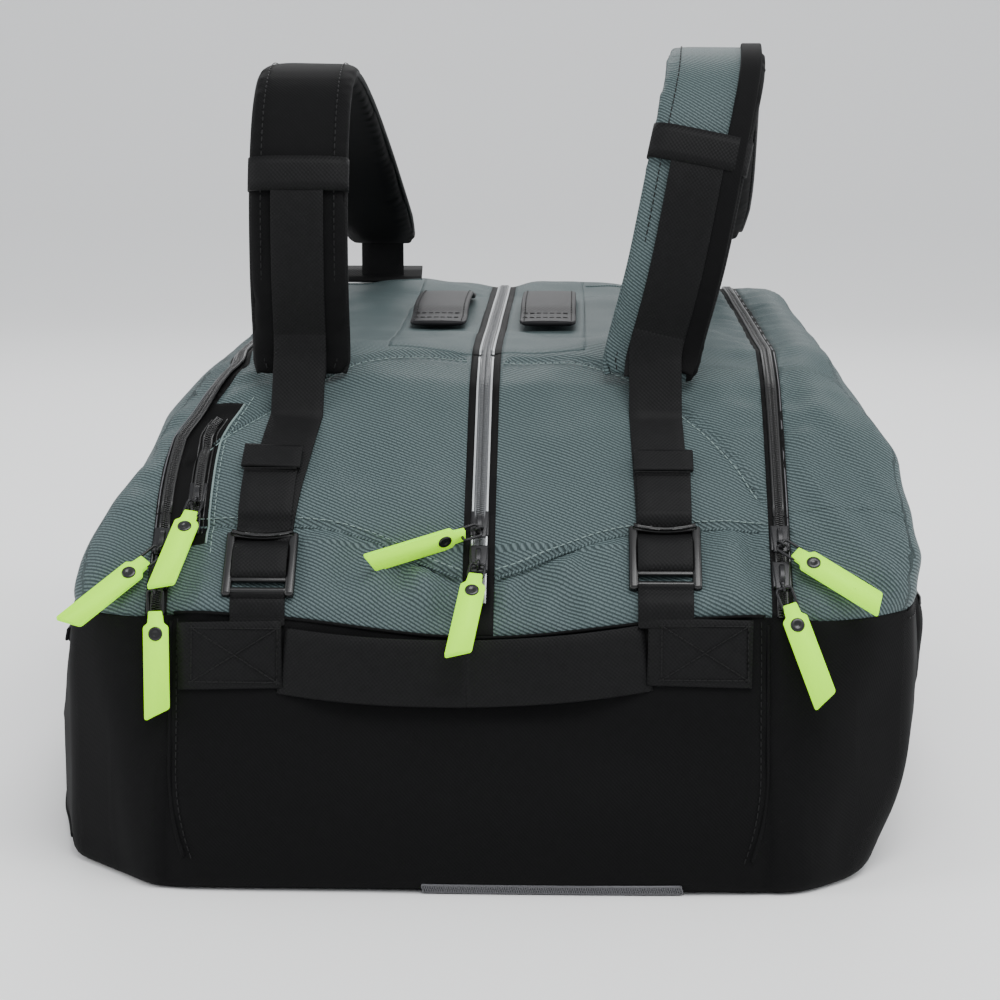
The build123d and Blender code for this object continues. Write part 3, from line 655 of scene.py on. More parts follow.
skin = box_cells()
start = np.array([v.co[:] for v in skin.verts])
centre = start * np.array([0.55, 0.62, 0.12]) + np.array([0, 0, 118.0])
landed = cast(centre, start - centre, 520)
for v, p in zip(skin.verts, landed):
    v.co = p
FLAP_Y = -(YOKE_Y - UP[1] * LID_RUN)
SLANT = (ZIP_LEFT_TOP - ZIP_LEFT) / (BEND_Y - TOP_Y + 4)
cuts = [((0, 0, BLACK_TOP), (0, 0, 1)), ((0, FLAP_Y, 0), (0, 1, 0))]
cut_x = [middle + offset for middle in (ZIP_LEFT, ZIP_LEFT_TOP, ZIP_RIGHT)
         for offset in (-SIDE_TAPE, 0, SIDE_TAPE)]
cut_x += [-CENTRE_TAPE, 0, CENTRE_TAPE, -FOLD_X, FOLD_X]
cuts += [((x, 0, 0), (1, 0, 0)) for x in cut_x]
cuts += [((0, y, 0), (0, 1, 0)) for y in (-FOLD_Y, FOLD_Y)]
cuts.append(((POCKET_EDGE, 0, 0), (1, 0, 0)))
cuts.append(((POCKET_EDGE, -BEND_Y, 0), (1, -SLANT, 0)))
for run_cut in POCKET_RUN:
    cuts.append(((0, -YOKE_Y + UP[1] * run_cut, YOKE_Z + UP[2] * run_cut), tuple(UP)))
for end in (-1, 1):
    for offset in (-SIDE_TAPE, 0, SIDE_TAPE):
        cuts.append(((ZIP_LEFT + offset, end * BEND_Y, 0), (1, end * SLANT, 0)))
for co, no in cuts:
    geometry = list(skin.verts) + list(skin.edges) + list(skin.faces)
    bmesh.ops.bisect_plane(skin, geom=geometry, plane_co=co, plane_no=no, dist=0.02)
skin.verts.ensure_lookup_table()
plain = np.array([v.co[:] for v in skin.verts])
centres = np.array([f.calc_center_median()[:] for f in skin.faces])
print("skin faces", len(skin.faces))

# %% [markdown]
# ### Which panel each face belongs to
# The rules are those of the CAD panels: height for the black cloth, distance from a zip for
# tape and lids, and the two fold lines for the middle lids.

# %% Panels
x, y, z = centres.T
d_left, d_right = -(x - zip_x(-1, y)), x - zip_x(1, y)
upper = z > BLACK_TOP
lid_zone = upper & (y > FLAP_Y)
middle_zone = (np.abs(y) < FOLD_Y) & (z > 200)
panel = np.full(len(centres), "black_lower", dtype=object)
panel[upper] = "green_fixed"
for side, d in (("left", d_left), ("right", d_right)):
    panel[upper & (np.abs(d) < SIDE_TAPE)] = "tape_fixed"
    panel[lid_zone & (d > 0) & (d < SIDE_TAPE)] = f"tape_{side}_lid"
    panel[lid_zone & (d > SIDE_TAPE)] = f"{side}_lid"
inner = upper & (d_left < -SIDE_TAPE) & (d_right < -SIDE_TAPE)
panel[inner & (np.abs(x) < CENTRE_TAPE)] = "tape_fixed"
run_here = run_of(centres)
beside_pocket = (y < -230) & (d_left > ZIP_LEFT - POCKET_EDGE)
pocket_ends = (run_here > POCKET_RUN[0]) & (run_here < POCKET_RUN[1])
panel[inner & beside_pocket & pocket_ends] = "tape_fixed"
for side, sign in (("left", -1), ("right", 1)):
    here = inner & middle_zone & (sign * x > 0)
    panel[here & (np.abs(x) < FOLD_X)] = f"middle_{side}"
    panel[here & (np.abs(x) < CENTRE_TAPE)] = f"tape_middle_{side}"


def slide_edge(p):
    """Slide cloth down the end panel so that the black edge dips in the middle."""
    q = p.copy()
    dip = (3.0 - 14.0 * np.exp(-(p[:, 0] / 95) ** 2)) * bump(p[:, 2] - BLACK_TOP, 30)
    dip *= (p[:, 1] < -330) * np.clip((190 - np.abs(p[:, 0])) / 30, 0, 1)
    q[:, 2] += dip
    q[:, 1] += dip * LEAN
    return q


def zip_bend(y):
    """Sideways shift that turns the left zip's corner into a sweep."""
    y = np.abs(np.asarray(y, float))
    return 4.5 * bump(y - BEND_Y + 12, 24)


def slide_zip(p):
    q = p.copy()
    q[:, 0] += zip_bend(p[:, 1]) * bump(p[:, 0] - zip_x(-1, p[:, 1]), 34) * (p[:, 2] > 150)
    return q


slid = slide_zip(slide_edge(plain))
cloth, cloth_n = dressed(slid)
nx = np.abs(cloth_n[:, 0])
ay = np.abs(plain[:, 1])
along = np.where(ay > YOKE_Y, plain[:, 2] - YOKE_Z,
                 np.where(ay > TOP_Y, run_of(plain), SLOPE + TOP_Y - ay))
along = np.where(plain[:, 1] > 0, 2 * SLOPE + 2 * TOP_Y - along, along)
cloth_uv = np.where((nx > 0.72)[:, None], plain[:, [1, 2]], np.stack([plain[:, 0], along], 1))

PANELS = {
    "black_lower": ("bag", BLACK, "black_fabric",
                    ("base_panel", "front_end_panel", "rear_end_panel", "left_side_panel",
                     "right_side_panel")),
    "green_fixed": ("bag", GREEN, "green_fabric",
                    ("front_yoke", "rear_yoke", "front_slope_left", "front_slope_right",
                     "rear_slope_left", "rear_slope_right", "left_top_strip",
                     "right_top_strip", "left_front_corner", "right_front_corner")),
    "tape_fixed": ("bag", TAPE_MAT, "black_webbing", ()),
    "left_lid": ("left_flap_body", GREEN, "green_fabric", ("left_flap",)),
    "right_lid": ("right_flap_body", GREEN, "green_fabric", ("right_flap",)),
    "tape_left_lid": ("left_flap_body", TAPE_MAT, "black_webbing", ()),
    "tape_right_lid": ("right_flap_body", TAPE_MAT, "black_webbing", ()),
    "middle_left": ("middle_left_body", GREEN, "green_fabric", ("middle_flap_left",)),
    "middle_right": ("middle_right_body", GREEN, "green_fabric", ("middle_flap_right",)),
    "tape_middle_left": ("middle_left_body", TAPE_MAT, "black_webbing", ()),
    "tape_middle_right": ("middle_right_body", TAPE_MAT, "black_webbing", ()),
}


def blend_lid(obj):
    """The side lid's placement is written into its mesh."""
    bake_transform(obj)


def thicken(obj, depth):
    """Give a sheet its thickness, inwards."""
    thick = obj.modifiers.new("thickness", "SOLIDIFY")
    thick.thickness = depth * MM
    thick.offset = -1
    return thick


face_verts = [[v.index for v in f.verts] for f in skin.faces]
for name, (body, mat, slot, nodes) in PANELS.items():
    chosen = [face_verts[i] for i in np.flatnonzero(panel == name)]
    used = sorted({i for f in chosen for i in f})
    new = {old: i for i, old in enumerate(used)}
    shape = Shape()
    shape.add(cloth[used], [tuple(new[i] for i in f) for f in chosen], cloth_uv[used])
    obj = shape.object(name, mat)
    obj.data.materials.append(LINING)
    thicken(obj, 1.2 if "tape" in name else 3.2).material_offset = 1
    if nodes:
        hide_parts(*nodes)
    if name in ("left_lid", "right_lid"):
        blend_lid(obj)
    else:
        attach(obj, body)
    print(name, len(chosen))
skin.free()

# %% [markdown]
# ## Seams, piping and stitches
# A seam is a fine raised cord, mostly with a row of stitches beside it. Each line is laid on
# the cloth by the same `profile` and `flank` functions, so it follows the folds. A bump
# in the material would be cheaper, but it vanishes at the outline and in low light.

# %% Seams
piping, piping_black, thread, thread_dark = Shape(), Shape(), Shape(), Shape()


def seam(shape, line, radius, lift=0.0):
    sweep(shape, *line, round_section(radius, lift))


for x0, x1 in ((-168, -11), (11, 159)):
    xs = np.linspace(x0, x1, 60)
    seam(piping, profile(xs, yoke_run(xs)), 0.8)
    stitches(thread, *profile(xs, yoke_run(xs) + 4.5))
for x0, x1 in ((-158, -12), (12, 158)):
    xs = np.linspace(x0, x1, 56)
    seam(piping, profile(xs, arch_run(xs)), 0.8)
    stitches(thread, *profile(xs, arch_run(xs) - 4.5))
for x0, x1 in ((-140, -62), (62, 160)):
    seam(piping, profile(np.linspace(x0, x1, 24), SLOPE + TOP_Y + 172), 0.8)
xs = np.linspace(-170, 160, 90)
seam(piping_black, profile(xs, -2.0 - 14.0 * np.exp(-(xs / 95) ** 2)), 1.1)
for cx, bend in ((-172, 9), (162, -9)):
    ss = np.linspace(-8, -139, 40)
    xs = cx + bend * np.clip((-ss - 90) / 50, 0, 1) ** 2
    seam(piping_black, profile(xs, ss), 1.3)
    stitches(thread_dark, *profile(xs + 4 * np.sign(-cx), ss))
for side in (-1, 1):
    ys = np.linspace(-330, 330, 150)
    seam(piping_black, flank(side, ys, BLACK_TOP), 1.1)
    stitches(thread_dark, *flank(side, ys, BLACK_TOP - 5))
    seam(piping_black, flank(side, np.linspace(-325, 325, 130), 12), 1.2)

lid_seams = {"left": Shape(), "right": Shape()}
for name, side, lean in (("left", -1, -40), ("right", 1, -60)):
    for y0 in (-128.0, 128.0):
        zs = np.linspace(156, 262, 40)
        ys = y0 - lean * np.sign(y0) * 0.3 * ((zs - 156) / 106)
        seam(lid_seams[name], flank(side, ys, zs), 1.0)
        stitches(lid_seams[name], *flank(side, ys + 5, zs))
pieces = [(piping, "green_piping", GREEN, "green_fabric"),
          (piping_black, "black_piping", BLACK, "black_fabric"),
          (thread, "light_topstitch", THREAD, "green_fabric"),
          (thread_dark, "dark_topstitch", THREAD_DARK, "black_fabric")]
for shape, name, mat, slot in pieces:
    finish_piece(shape.object(name, mat), "bag", slot)
for side in ("left", "right"):
    obj = lid_seams[side].object(f"{side}_lid_seams", GREEN)
    blend_lid(obj)
print("seams laid")

# %% [markdown]
# ## Zips
# A coil is two rows of small bars that mesh half a pitch apart. The tape carries fine
# stripes: two bright ones beside the middle zip, one thin grey one beside each side zip.

# %% Zips


def zip_points(side, y0, y1, count=220):
    ys = np.linspace(y0, y1, count)
    xs = zip_x(side, ys) + (zip_bend(ys) if side < 0 else 0)
    ss = np.where(ys < -TOP_Y, (ys + YOKE_Y) / UP[1], SLOPE + ys + TOP_Y)
    ss = np.where(ys < -YOKE_Y, ys + YOKE_Y, ss)
    return xs, ss


def lay(xs, ss):
    """Cloth line for any run; past the middle of the top it is mirrored to the rear."""
    half = SLOPE + TOP_Y
    ss = np.asarray(ss, float)
    rear = ss > half
    p, n = profile(xs, np.where(rear, 2 * half - ss, ss))
    flip = np.array([1, -1, 1])
    p[rear] = cloth_at(p[rear] * flip)
    n[rear] = n[rear] * flip
    return p, n


def cloth_at(p):
    """The relief is not mirrored, so points brought from the front are laid again."""
    if not len(p):
        return p
    inner = p * np.array([1, 0.93, 0.8])
    return dressed(cast(inner, p - inner, 160))[0]


TOOTH = capsule(2.9, 1.15, 1.9)


def zip_coil(shape, p, n, half, pitch=1.3, rise=0.9, only=None):
    """Teeth, rim cord and base band of a coil; only=-1 or 1 lays one of its two rows."""
    for row, sign in ((0, -1), (1, 1)):
        if only is not None and sign != only:
            continue
        q, tangent, m, across = frames(*resample(p, n, pitch, offset=row * pitch / 2))
        q = q + m * rise + across * (sign * half * 0.5)
        scatter(shape, TOOTH, list(zip(q, across, tangent, m)))
        edge, em, ea = spaced(p, n)
        sweep(shape, edge + ea * (sign * half), em, round_section(0.9, rise, 6))
        sweep(shape, edge + ea * (sign * half / 2), em, strap_section(half * 0.98, 0.7, 0.15, 0.2))


STRIPE_AT = 3.9      # bright stripe from the middle of its coil


def stripes(shape, p, n, at, width, thick):
    q, m, across = spaced(p, n)
    for sign in (-1, 1):
        sweep(shape, q + across * (sign * at), m, flat(width / 2, 0.05, thick))


SPAN = 2 * (SLOPE + TOP_Y)
MID_START = SLOPE + TOP_Y - FOLD_Y
coil_jobs = [
    ("centre_coil_front", np.linspace(4, MID_START, 60), 2.7, ()),
    ("centre_coil_rear", np.linspace(SPAN - MID_START, SPAN - 10, 60), 2.5, ("slope_zip",)),
]
for name, ss, half, nodes in coil_jobs:
    p, n = lay(0.0, ss)
    shape = Shape()
    zip_coil(shape, p, n, half)
    finish_piece(shape.object(name, COIL_SILVER), "bag", "silver_tape", *nodes)
    shape = Shape()
    stripes(shape, p, n, STRIPE_AT, 1.5, 1.1)
    finish_piece(shape.object(name + "_stripes", SILVER), "bag", "silver_tape")
for side, sign in (("left", -1), ("right", 1)):
    ss = np.linspace(MID_START, SPAN - MID_START, 90)
    p, n = lay(0.0, ss)
    shape = Shape()
    zip_coil(shape, p, n, 2.5, only=-sign)
    body = f"middle_{side}_body"
    finish_piece(shape.object(f"centre_coil_{side}", COIL_SILVER), body, "silver_tape",
                 f"middle_zip_{side}")
    q, m, across = spaced(p, n)
    shape = Shape()
    sweep(shape, q - across * (sign * STRIPE_AT), m, flat(0.75, 0.0, 1.1))
    finish_piece(shape.object(f"centre_stripe_{side}", SILVER), body, "silver_tape")

for side, sign in (("left", -1), ("right", 1)):
    for part, y0, y1 in (("start", -366, FLAP_Y), ("lid", FLAP_Y, 352)):
        xs, ss = zip_points(sign, y0, min(y1, 0), 120)
        ss = np.where(ss < -3, -3, ss)
        if part == "lid":
            xs = np.concatenate([xs, xs[::-1][1:]])
            ss = np.concatenate([ss, SPAN - ss[::-1][1:]])
        keep = np.concatenate([[True], np.abs(np.diff(ss)) > 1e-6])
        p, n = lay(xs[keep], ss[keep])
        for row in ((None,) if part == "start" else (-1, 1)):
            body = "bag" if row is None or row == sign else f"{side}_flap_body"
            tag = "both" if row is None else ("fixed" if row == sign else "moving")
            nodes = {"both": (), "fixed": (f"{side}_fixed_zip",),
                     "moving": (f"{side}_flap_zip",)}[tag]
            shape = Shape()
            zip_coil(shape, p, n, 2.5, only=row)
            finish_piece(shape.object(f"{side}_coil_{part}_{tag}", COIL_BLACK), body,
                         "black_webbing", *nodes)
        shape = Shape()
        q, m, across = spaced(p, n)
        sweep(shape, q + across * 5.0 * sign, m, flat(0.35, 0.05, 0.5))
        finish_piece(shape.object(f"{side}_line_{part}_fixed", COIL_GREY), "bag",
                     "black_webbing")

# The pocket zip, on its own dark strip inside the left zip.
ss = np.linspace(48, 132, 40)
pocket_coil = Shape()
pocket_y = -YOKE_Y + UP[1] * ss
pocket_x = zip_x(-1, pocket_y) + 17.0 + zip_bend(pocket_y) * 0.6
p, n = profile(pocket_x, ss)
zip_coil(pocket_coil, p + n * 0.2, n, 2.3)
for at in (-4.6, 4.6):
    q, m = profile(pocket_x + at, ss)
    sweep(pocket_coil, q, m, flat(0.35, 0.0, 0.6))
finish_piece(pocket_coil.object("pocket_coil", COIL_BLACK), "bag", "black_webbing", "pocket_zip")
shape = Shape()
ss = np.linspace(36, 150, 50)
pocket_y = -YOKE_Y + UP[1] * ss
p, n = profile(zip_x(-1, pocket_y) + 28.0 + zip_bend(pocket_y) * 0.5, ss)
stitches(shape, p, n)
q, m = profile(zip_x(-1, pocket_y[2:-2]) + 25.0 + zip_bend(pocket_y[2:-2]) * 0.6, ss[2:-2])
seam(shape, (q, m), 0.7, 0.2)
finish_piece(shape.object("pocket_topstitch", THREAD), "bag", "green_fabric")

xs = np.linspace(-30, 115, 40)
origin = np.stack([xs, np.full_like(xs, -300), np.full_like(xs, 30)], 1)
p, n = dressed(cast(origin, np.array([0, -88.0, -27.0]), 160))
shape = Shape()
zip_coil(shape, p, n, 2.3, rise=0.7)
finish_piece(shape.object("base_coil", COIL_GREY), "bag", "black_webbing", "base_zip")
print("zips laid")

# %% [markdown]
# ## Sliders and pulls
# Each slider is a cast body with a bridge and an eye. Each pull is a wire link and two
# layers of rubber joined by a rivet. Copies of one leaf could share one mesh, but every pull
# hangs at its own angle and rides its own body, so each is built in place.

# %% Sliders and pulls


def template_of(made):
    """Points and faces of a small working mesh, which is then freed."""
    made.verts.ensure_lookup_table()
    verts = np.array([v.co[:] for v in made.verts])
    faces = [[v.index for v in f.verts] for f in made.faces]
    made.free()
    return verts, faces


def rounded_box(size, bevel, segments=3, taper=1.0):
    made_box = bmesh.new()
    bmesh.ops.create_cube(made_box, size=1)
    for v in made_box.verts:
        v.co = Vector((v.co.x * size[0], v.co.y * size[1], v.co.z * size[2]))
        if v.co.y < 0:
            v.co.x *= taper
    bmesh.ops.bevel(made_box, geom=list(made_box.edges), offset=bevel, segments=segments,
                    affect="EDGES", profile=0.6)
    return template_of(made_box)


def placed(shape, template, origin, axes):
    verts, faces = template
    shape.add(verts @ np.stack(axes) + origin, faces)


def ring(shape, centre_at, axis, radius, wire, ref, count=28):
    axis, ref = np.asarray(axis, float), np.asarray(ref, float)
    u = ref - axis * (ref @ axis)
    u /= np.linalg.norm(u)
    v = np.cross(axis, u)
    turn = np.linspace(0, 2 * math.pi, count)
    outward = np.array([u * math.cos(t) + v * math.sin(t) for t in turn])
    sweep(shape, centre_at + outward * radius, outward, round_section(wire, 0, 8))


def in_slope(angle, tilt):
    a, t = math.radians(angle), math.radians(tilt)
    flat = np.array([math.sin(a), 0, 0]) - UP * math.cos(a)
    return flat * math.cos(t) + OUT * math.sin(t), OUT * math.cos(t) - flat * math.sin(t)


def hanging(angle, forward):
    a, f = math.radians(angle), math.radians(forward)
    down = np.array([math.sin(a), -math.cos(a) * math.sin(f), -math.cos(a) * math.cos(f)])
    return down, np.array([0, -math.cos(f), math.sin(f)])


def on_slope(x, run, height=0.0):
    return np.array([x, -YOKE_Y, YOKE_Z]) + UP * run + OUT * height


SLIDERS = {
    "centre_upper": (0.0, 55.0, 6.0, in_slope(-66, 4), 11.0, 80.0),
    "centre_lower": (0.0, 31.0, 6.0, in_slope(-8, 6), 10.0, 0.0),
    "right_upper": (170.0, 46.0, 6.0, in_slope(51, 2), 12.0, 0.0),
    "right_lower": (170.0, 21.0, 11.0, hanging(19, 27), 12.0, 0.0),
    "left_upper": (-180.0, 42.0, 8.0, in_slope(-42, 1), 13.0, 0.0),
    "left_lower": (-180.0, 18.0, 12.0, hanging(2, 15), 14.0, 0.0),
    "pocket": (-163.0, 74.0, 6.0, in_slope(-11, 7), 11.0, 0.0),
}
LEAF = [(-3.8, 2.2), (3.8, 2.2), (4.2, -2.0), (4.4, -4.4), (6.9, -6.4), (7.0, -8.0), (7.0, -51.4),
        (6.4, -52.6), (-6.2, -58.4), (-7.0, -57.6), (-7.0, -8.0), (-6.9, -6.4), (-4.4, -4.4),
        (-4.2, -2.0)]


def leaf_template(thick, shrink=0.0):
    made_leaf = bmesh.new()
    ring_verts = [made_leaf.verts.new((a * (1 - shrink / 7), b, -thick / 2)) for a, b in LEAF]
    face = made_leaf.faces.new(ring_verts)
    out = bmesh.ops.extrude_face_region(made_leaf, geom=[face])
    for v in out["geom"]:
        if isinstance(v, bmesh.types.BMVert):
            v.co.z += thick
    bmesh.ops.recalc_face_normals(made_leaf, faces=made_leaf.faces)
    bmesh.ops.bevel(made_leaf, geom=[e for e in made_leaf.edges if e.calc_length() > 0.1],
                    offset=min(0.35, thick * 0.3), segments=2, affect="EDGES")
    return template_of(made_leaf)


LEAF_HALF = leaf_template(1.25)
LEAF_CORE = leaf_template(0.7, 0.5)
SLOPE_AXES = (X_DIR, UP, OUT)
LINK_CORNER, RIVET_SIDES = 1.6, 24
for name, (sx, run, reach, (down, out), link, roll) in SLIDERS.items():
    shape = Shape()
    seat = on_slope(sx, run, 0)
    placed(shape, rounded_box((10.6, 18.5, 2.2), 0.9, taper=0.72), seat + OUT * 4.2, SLOPE_AXES)
    wall = rounded_box((1.6, 15.5, 4.2), 0.6)
    for half in (-1, 1):
        placed(shape, wall, seat + X_DIR * half * 4.5 + OUT * 2.6, SLOPE_AXES)
    arch_pts = [seat + UP * (6 * math.cos(t)) + OUT * (5.0 + 3.0 * math.sin(t))
                for t in np.linspace(0.25, math.pi - 0.25, 14)]
    sweep(shape, arch_pts, OUT, strap_section(3.0, 1.3, -0.4, 0.4))
    eye = on_slope(sx, run - reach, 8.0)
    side_axis = np.cross(out, down)
    ring(shape, eye, side_axis, 2.1, 0.75, down)
    placed(shape, rounded_box((2.2, reach + 1.0, 1.8), 0.6),
           on_slope(sx, run - reach / 2 + 0.5, 5.9), SLOPE_AXES)
    finish_piece(shape.object(f"{name}_slider_cast", METAL), f"{name}_slider_body", "dark_metal",
                 f"{name}_slider")
    basis = [side_axis, -down, out]
    wire = Shape()
    corners = np.array([(-4.3, 0), (-4.3, -link), (4.3, -link), (4.3, 0)])
    loop = []
    for i, corner in enumerate(corners):
        back, ahead = corners[i - 1] - corner, corners[(i + 1) % 4] - corner
        q0 = corner + back / np.linalg.norm(back) * LINK_CORNER
        q1 = corner + ahead / np.linalg.norm(ahead) * LINK_CORNER
        for f in (0.0, 0.5, 1.0):
            loop.append(q0 * (1 - f) ** 2 + corner * 2 * f * (1 - f) + q1 * f * f)
    loop.append(loop[0])
    pts = [eye + basis[0] * a + basis[1] * b for a, b in loop]
    sweep(wire, pts, out, round_section(0.85, 0, 8))
    finish_piece(wire.object(f"{name}_link", METAL), f"{name}_pull_body", "dark_metal")
    c, s = math.cos(math.radians(roll)), math.sin(math.radians(roll))
    rolled = [basis[0] * c - basis[2] * s, basis[1], basis[0] * s + basis[2] * c]
    base = eye + basis[1] * (-link)
    rubber = Shape()
    for lift in (-0.85, 0.85):
        placed(rubber, LEAF_HALF, base + rolled[2] * lift, rolled)
    placed(rubber, LEAF_CORE, base, rolled)
    finish_piece(rubber.object(f"{name}_rubber", NEON), f"{name}_pull_body", "neon_rubber",
                 f"{name}_pull")
    stud = Shape()
    turn = np.linspace(0, 2 * math.pi, RIVET_SIDES + 1)[:-1]
    rings = [(4.0, 1.2), (4.0, 1.75), (3.5, 2.15), (1.6, 2.15), (1.2, 1.9), (0.01, 1.9)]
    faces = [(i + j, i + k, i + RIVET_SIDES + k, i + RIVET_SIDES + j)
             for i in range(0, (len(rings) - 1) * RIVET_SIDES, RIVET_SIDES)
             for j, k in zip(range(RIVET_SIDES), [*range(1, RIVET_SIDES), 0])]
    for flip in (-1, 1):
        verts = [base + rolled[1] * (-10.5) + rolled[0] * r * math.cos(t)
                 + rolled[1] * r * math.sin(t) + rolled[2] * h * flip
                 for r, h in rings for t in turn]
        stud.add(verts, faces)
    finish_piece(stud.object(f"{name}_rivet", PLASTIC), f"{name}_pull_body", "black_plastic")
print("sliders", len(SLIDERS))

# %% [markdown]
# ## Buckles and webbing of the straps
# The lower webbing comes down from each pad, threads the ladder lock and turns back on
# itself. Its loose end is folded into a hem. Below the lock a short web is sewn down.
# Each layer is one swept strip, which keeps it threaded over and under the bars.

# %% Buckles and lower webbing
BUCKLES = {"left": (-123.0, 26.0), "right": (105.0, 32.0)}
STRAP_PATH = [(-240, 0), (-249, 45), (-244, 100), (-218, 142), (-170, 158), (-90, 143),
              (10, 108), (100, 64), (180, 27.5)]
STRAP_SHIFT = {"left": [0, 0, 0, 0, 0, 2, 6, 12, 16],
               "right": [0, 12, 24, 34, 38, 42, 48, 52, 52]}
STRAP_X = {"left": -109.0, "right": 101.0}
STRAP_LIFT = {"left": 0.0, "right": 10.0}
STRAP_Z = 290.5
FOOT_SHIFT = {"left": 0.0, "right": -3.0}


def strap_line(side, count=90, foot=False):
    pts = [(STRAP_X[side] + STRAP_SHIFT[side][i], y,
            STRAP_Z + z + STRAP_LIFT[side] * min(z / 100.0, 1.0))
           for i, (y, z) in enumerate(STRAP_PATH)]
    if foot:
        pts = [(STRAP_X[side] + FOOT_SHIFT[side], -243.0, STRAP_Z - 20)] + pts
    p = smooth_path(pts, count)
    d = np.gradient(p, axis=0)
    n = np.stack([0 * d[:, 0], -d[:, 2], d[:, 1]], 1)
    return p, n / np.linalg.norm(n, axis=1)[:, None]


for side, (bx, run) in BUCKLES.items():
    lock = Shape()
    rail = rounded_box((5.4, 43.0, 5.4), 1.9)
    for half in (-1, 1):
        placed(lock, rail, on_slope(bx + half * 17.7, run, 4.6), SLOPE_AXES)
    ts = np.linspace(-1, 1, 15)
    top = [on_slope(bx + 17.6 * t, run + 20.6 - 2.6 * (1 - t * t), 6.4) for t in ts]
    sweep(lock, top, OUT, strap_section(4.8, 4.4, -2.2, 1.5))
    for at, size in ((8.0, 3.8), (-3.0, 3.8), (-10.5, 3.4)):
        bar = rounded_box((34.0, size, 2.6), 0.9)
        placed(lock, bar, on_slope(bx, run + at, 5.2), SLOPE_AXES)
    bar_pts = [on_slope(bx + 17 * t, run - 18, 4.6) for t in ts]
    sweep(lock, bar_pts, OUT, round_section(2.2, 0, 12))
    finish_piece(lock.object(f"{side}_lock", PLASTIC), f"{side}_buckle_body", "black_plastic",
                 f"{side}_buckle")

    web = Shape()
    strap_p, strap_n = strap_line(side)
    foot_p = strap_p[0] + strap_n[0] * 10.2 - np.array([0, 0, 4.0])
    sx = STRAP_X[side]
    runs = np.linspace(run + 14, 134, 22)
    xs = np.interp(runs, [run + 14, 140], [bx, sx])
    p, n = profile(xs, runs)
    p = p + n * 0.6
    rise = np.linspace(0, 1, 14)[1:]
    bridge = np.array([p[-1] * (1 - t) ** 2 + 2 * t * (1 - t) * (p[-1] + UP * 12 + OUT * 4)
                       + foot_p * t * t for t in rise])
    bridge_n = np.array([n[-1] * (1 - t) + strap_n[0] * t for t in rise])
    tuck = np.array([strap_p[i] + strap_n[i] * h for i, h in ((1, 8.6), (2, 7.2), (3, 6.0))])
    bridge, bridge_n = np.vstack([bridge, tuck]), np.vstack([bridge_n, strap_n[1:4]])
    # thread: over the upper bar, under the lower one, and back over itself
    thread_at = [on_slope(bx, run + 13.5, 2.2), on_slope(bx, run + 10.5, 6.2),
                 on_slope(bx, run + 6.5, 7.4), on_slope(bx, run + 2.4, 3.4),
                 on_slope(bx, run - 3.0, 1.7), on_slope(bx, run - 7.0, 3.6)]
    p_all = np.vstack([thread_at[::-1], p[1:], bridge])
    n_all = np.vstack([np.array([OUT] * 6), n[1:], bridge_n])
    q, m = resample(smooth_path(p_all, 150), np.stack(
        [np.interp(np.linspace(0, 1, 150), np.linspace(0, 1, len(n_all)), n_all[:, i])
         for i in range(3)], 1), 4.0)
    sweep(web, q, m, strap_section(31.0, 1.5, 0.1, 0.5))
    # loose end: from the lower bar back up over the first layer
    tail_runs = np.linspace(run + 16, 104, 16)
    far_x = np.interp(104, [run + 14, 156], [bx, sx]) + (-5 if side == "left" else 2)
    tail_x = np.interp(tail_runs, [run + 16, 104], [bx, far_x])
    p, n = profile(tail_x, tail_runs)
    p = p + n * 2.6
    first = np.array([on_slope(bx, run - 9.0, 4.2), on_slope(bx, run - 7.6, 7.4),
                      on_slope(bx, run + 1, 8.6), on_slope(bx, run + 9, 8.2),
                      on_slope(bx, run + 15, 4.6), on_slope(bx, run + 20, 3.2)])
    q = smooth_path(np.vstack([first, p[3:] + n[3:] * 0.2]), 60)
    sweep(web, q, OUT, strap_section(31.0, 1.5, 0.0, 0.5))
    hem_p = p[-5:] + n[-5:] * 1.7
    sweep(web, smooth_path(hem_p, 12), n[-1], strap_section(34.5, 2.6, 0.0, 0.9))
    # sewn web below the lock
    low_runs = np.concatenate([np.linspace(run - 19, 2, 6), np.linspace(-2, -10, 5)])
    p, n = profile(bx, low_runs)
    p[0] += n[0] * 3.4
    p[1] += n[1] * 1.2
    sweep(web, smooth_path(p + n * 0.4, 24), np.linspace(1, 0, 24)[:, None] * n[0]
          + np.linspace(0, 1, 24)[:, None] * n[-1], strap_section(31, 1.6, 0.0, 0.5))
    finish_piece(web.object(f"{side}_lower_webbing", WEBBING), "bag", "black_webbing",
                 f"{side}_lower_web")
    hem_stitch = Shape()
    for row in (0, -1):
        pts = np.array([hem_p[row] + X_DIR * a + n[-1] * 2.5 for a in np.linspace(-15, 15, 12)])
        stitches(hem_stitch, pts, OUT, 0.2, 3.2)
    finish_piece(hem_stitch.object(f"{side}_hem_stitch", THREAD_DARK), "bag", "black_webbing")
print("locks and webbing done")

# %% [markdown]
# ## Shoulder pads
# Each pad is swept along its line, rebuilt as even cells, and inflated by a short cloth
# run. Then the binding, the webbing on its face and the band that holds it are laid over.

# %% Pads
STATIONS = 100       # points along a pad's line
PAD_ENDS = 0.82 + 0.18 * end_taper(STATIONS, 7.0) ** 0.5
CLOTH_FRAMES = 20
MOST_MOVE = 2.2      # no point of a pad may move further than this, in mm


def pad_mesh(side, name, mat):
    p, n = strap_line(side, STATIONS, foot=True)
    shape = Shape()
    foot = np.clip(np.arange(STATIONS) / 11.0, 0, 1)
    sweep(shape, p, n, strap_section(60.0, 11.0, -5.5, 3.6), scale=PAD_ENDS,
          thin=0.35 + 0.65 * foot)
    return shape.object(name, mat)


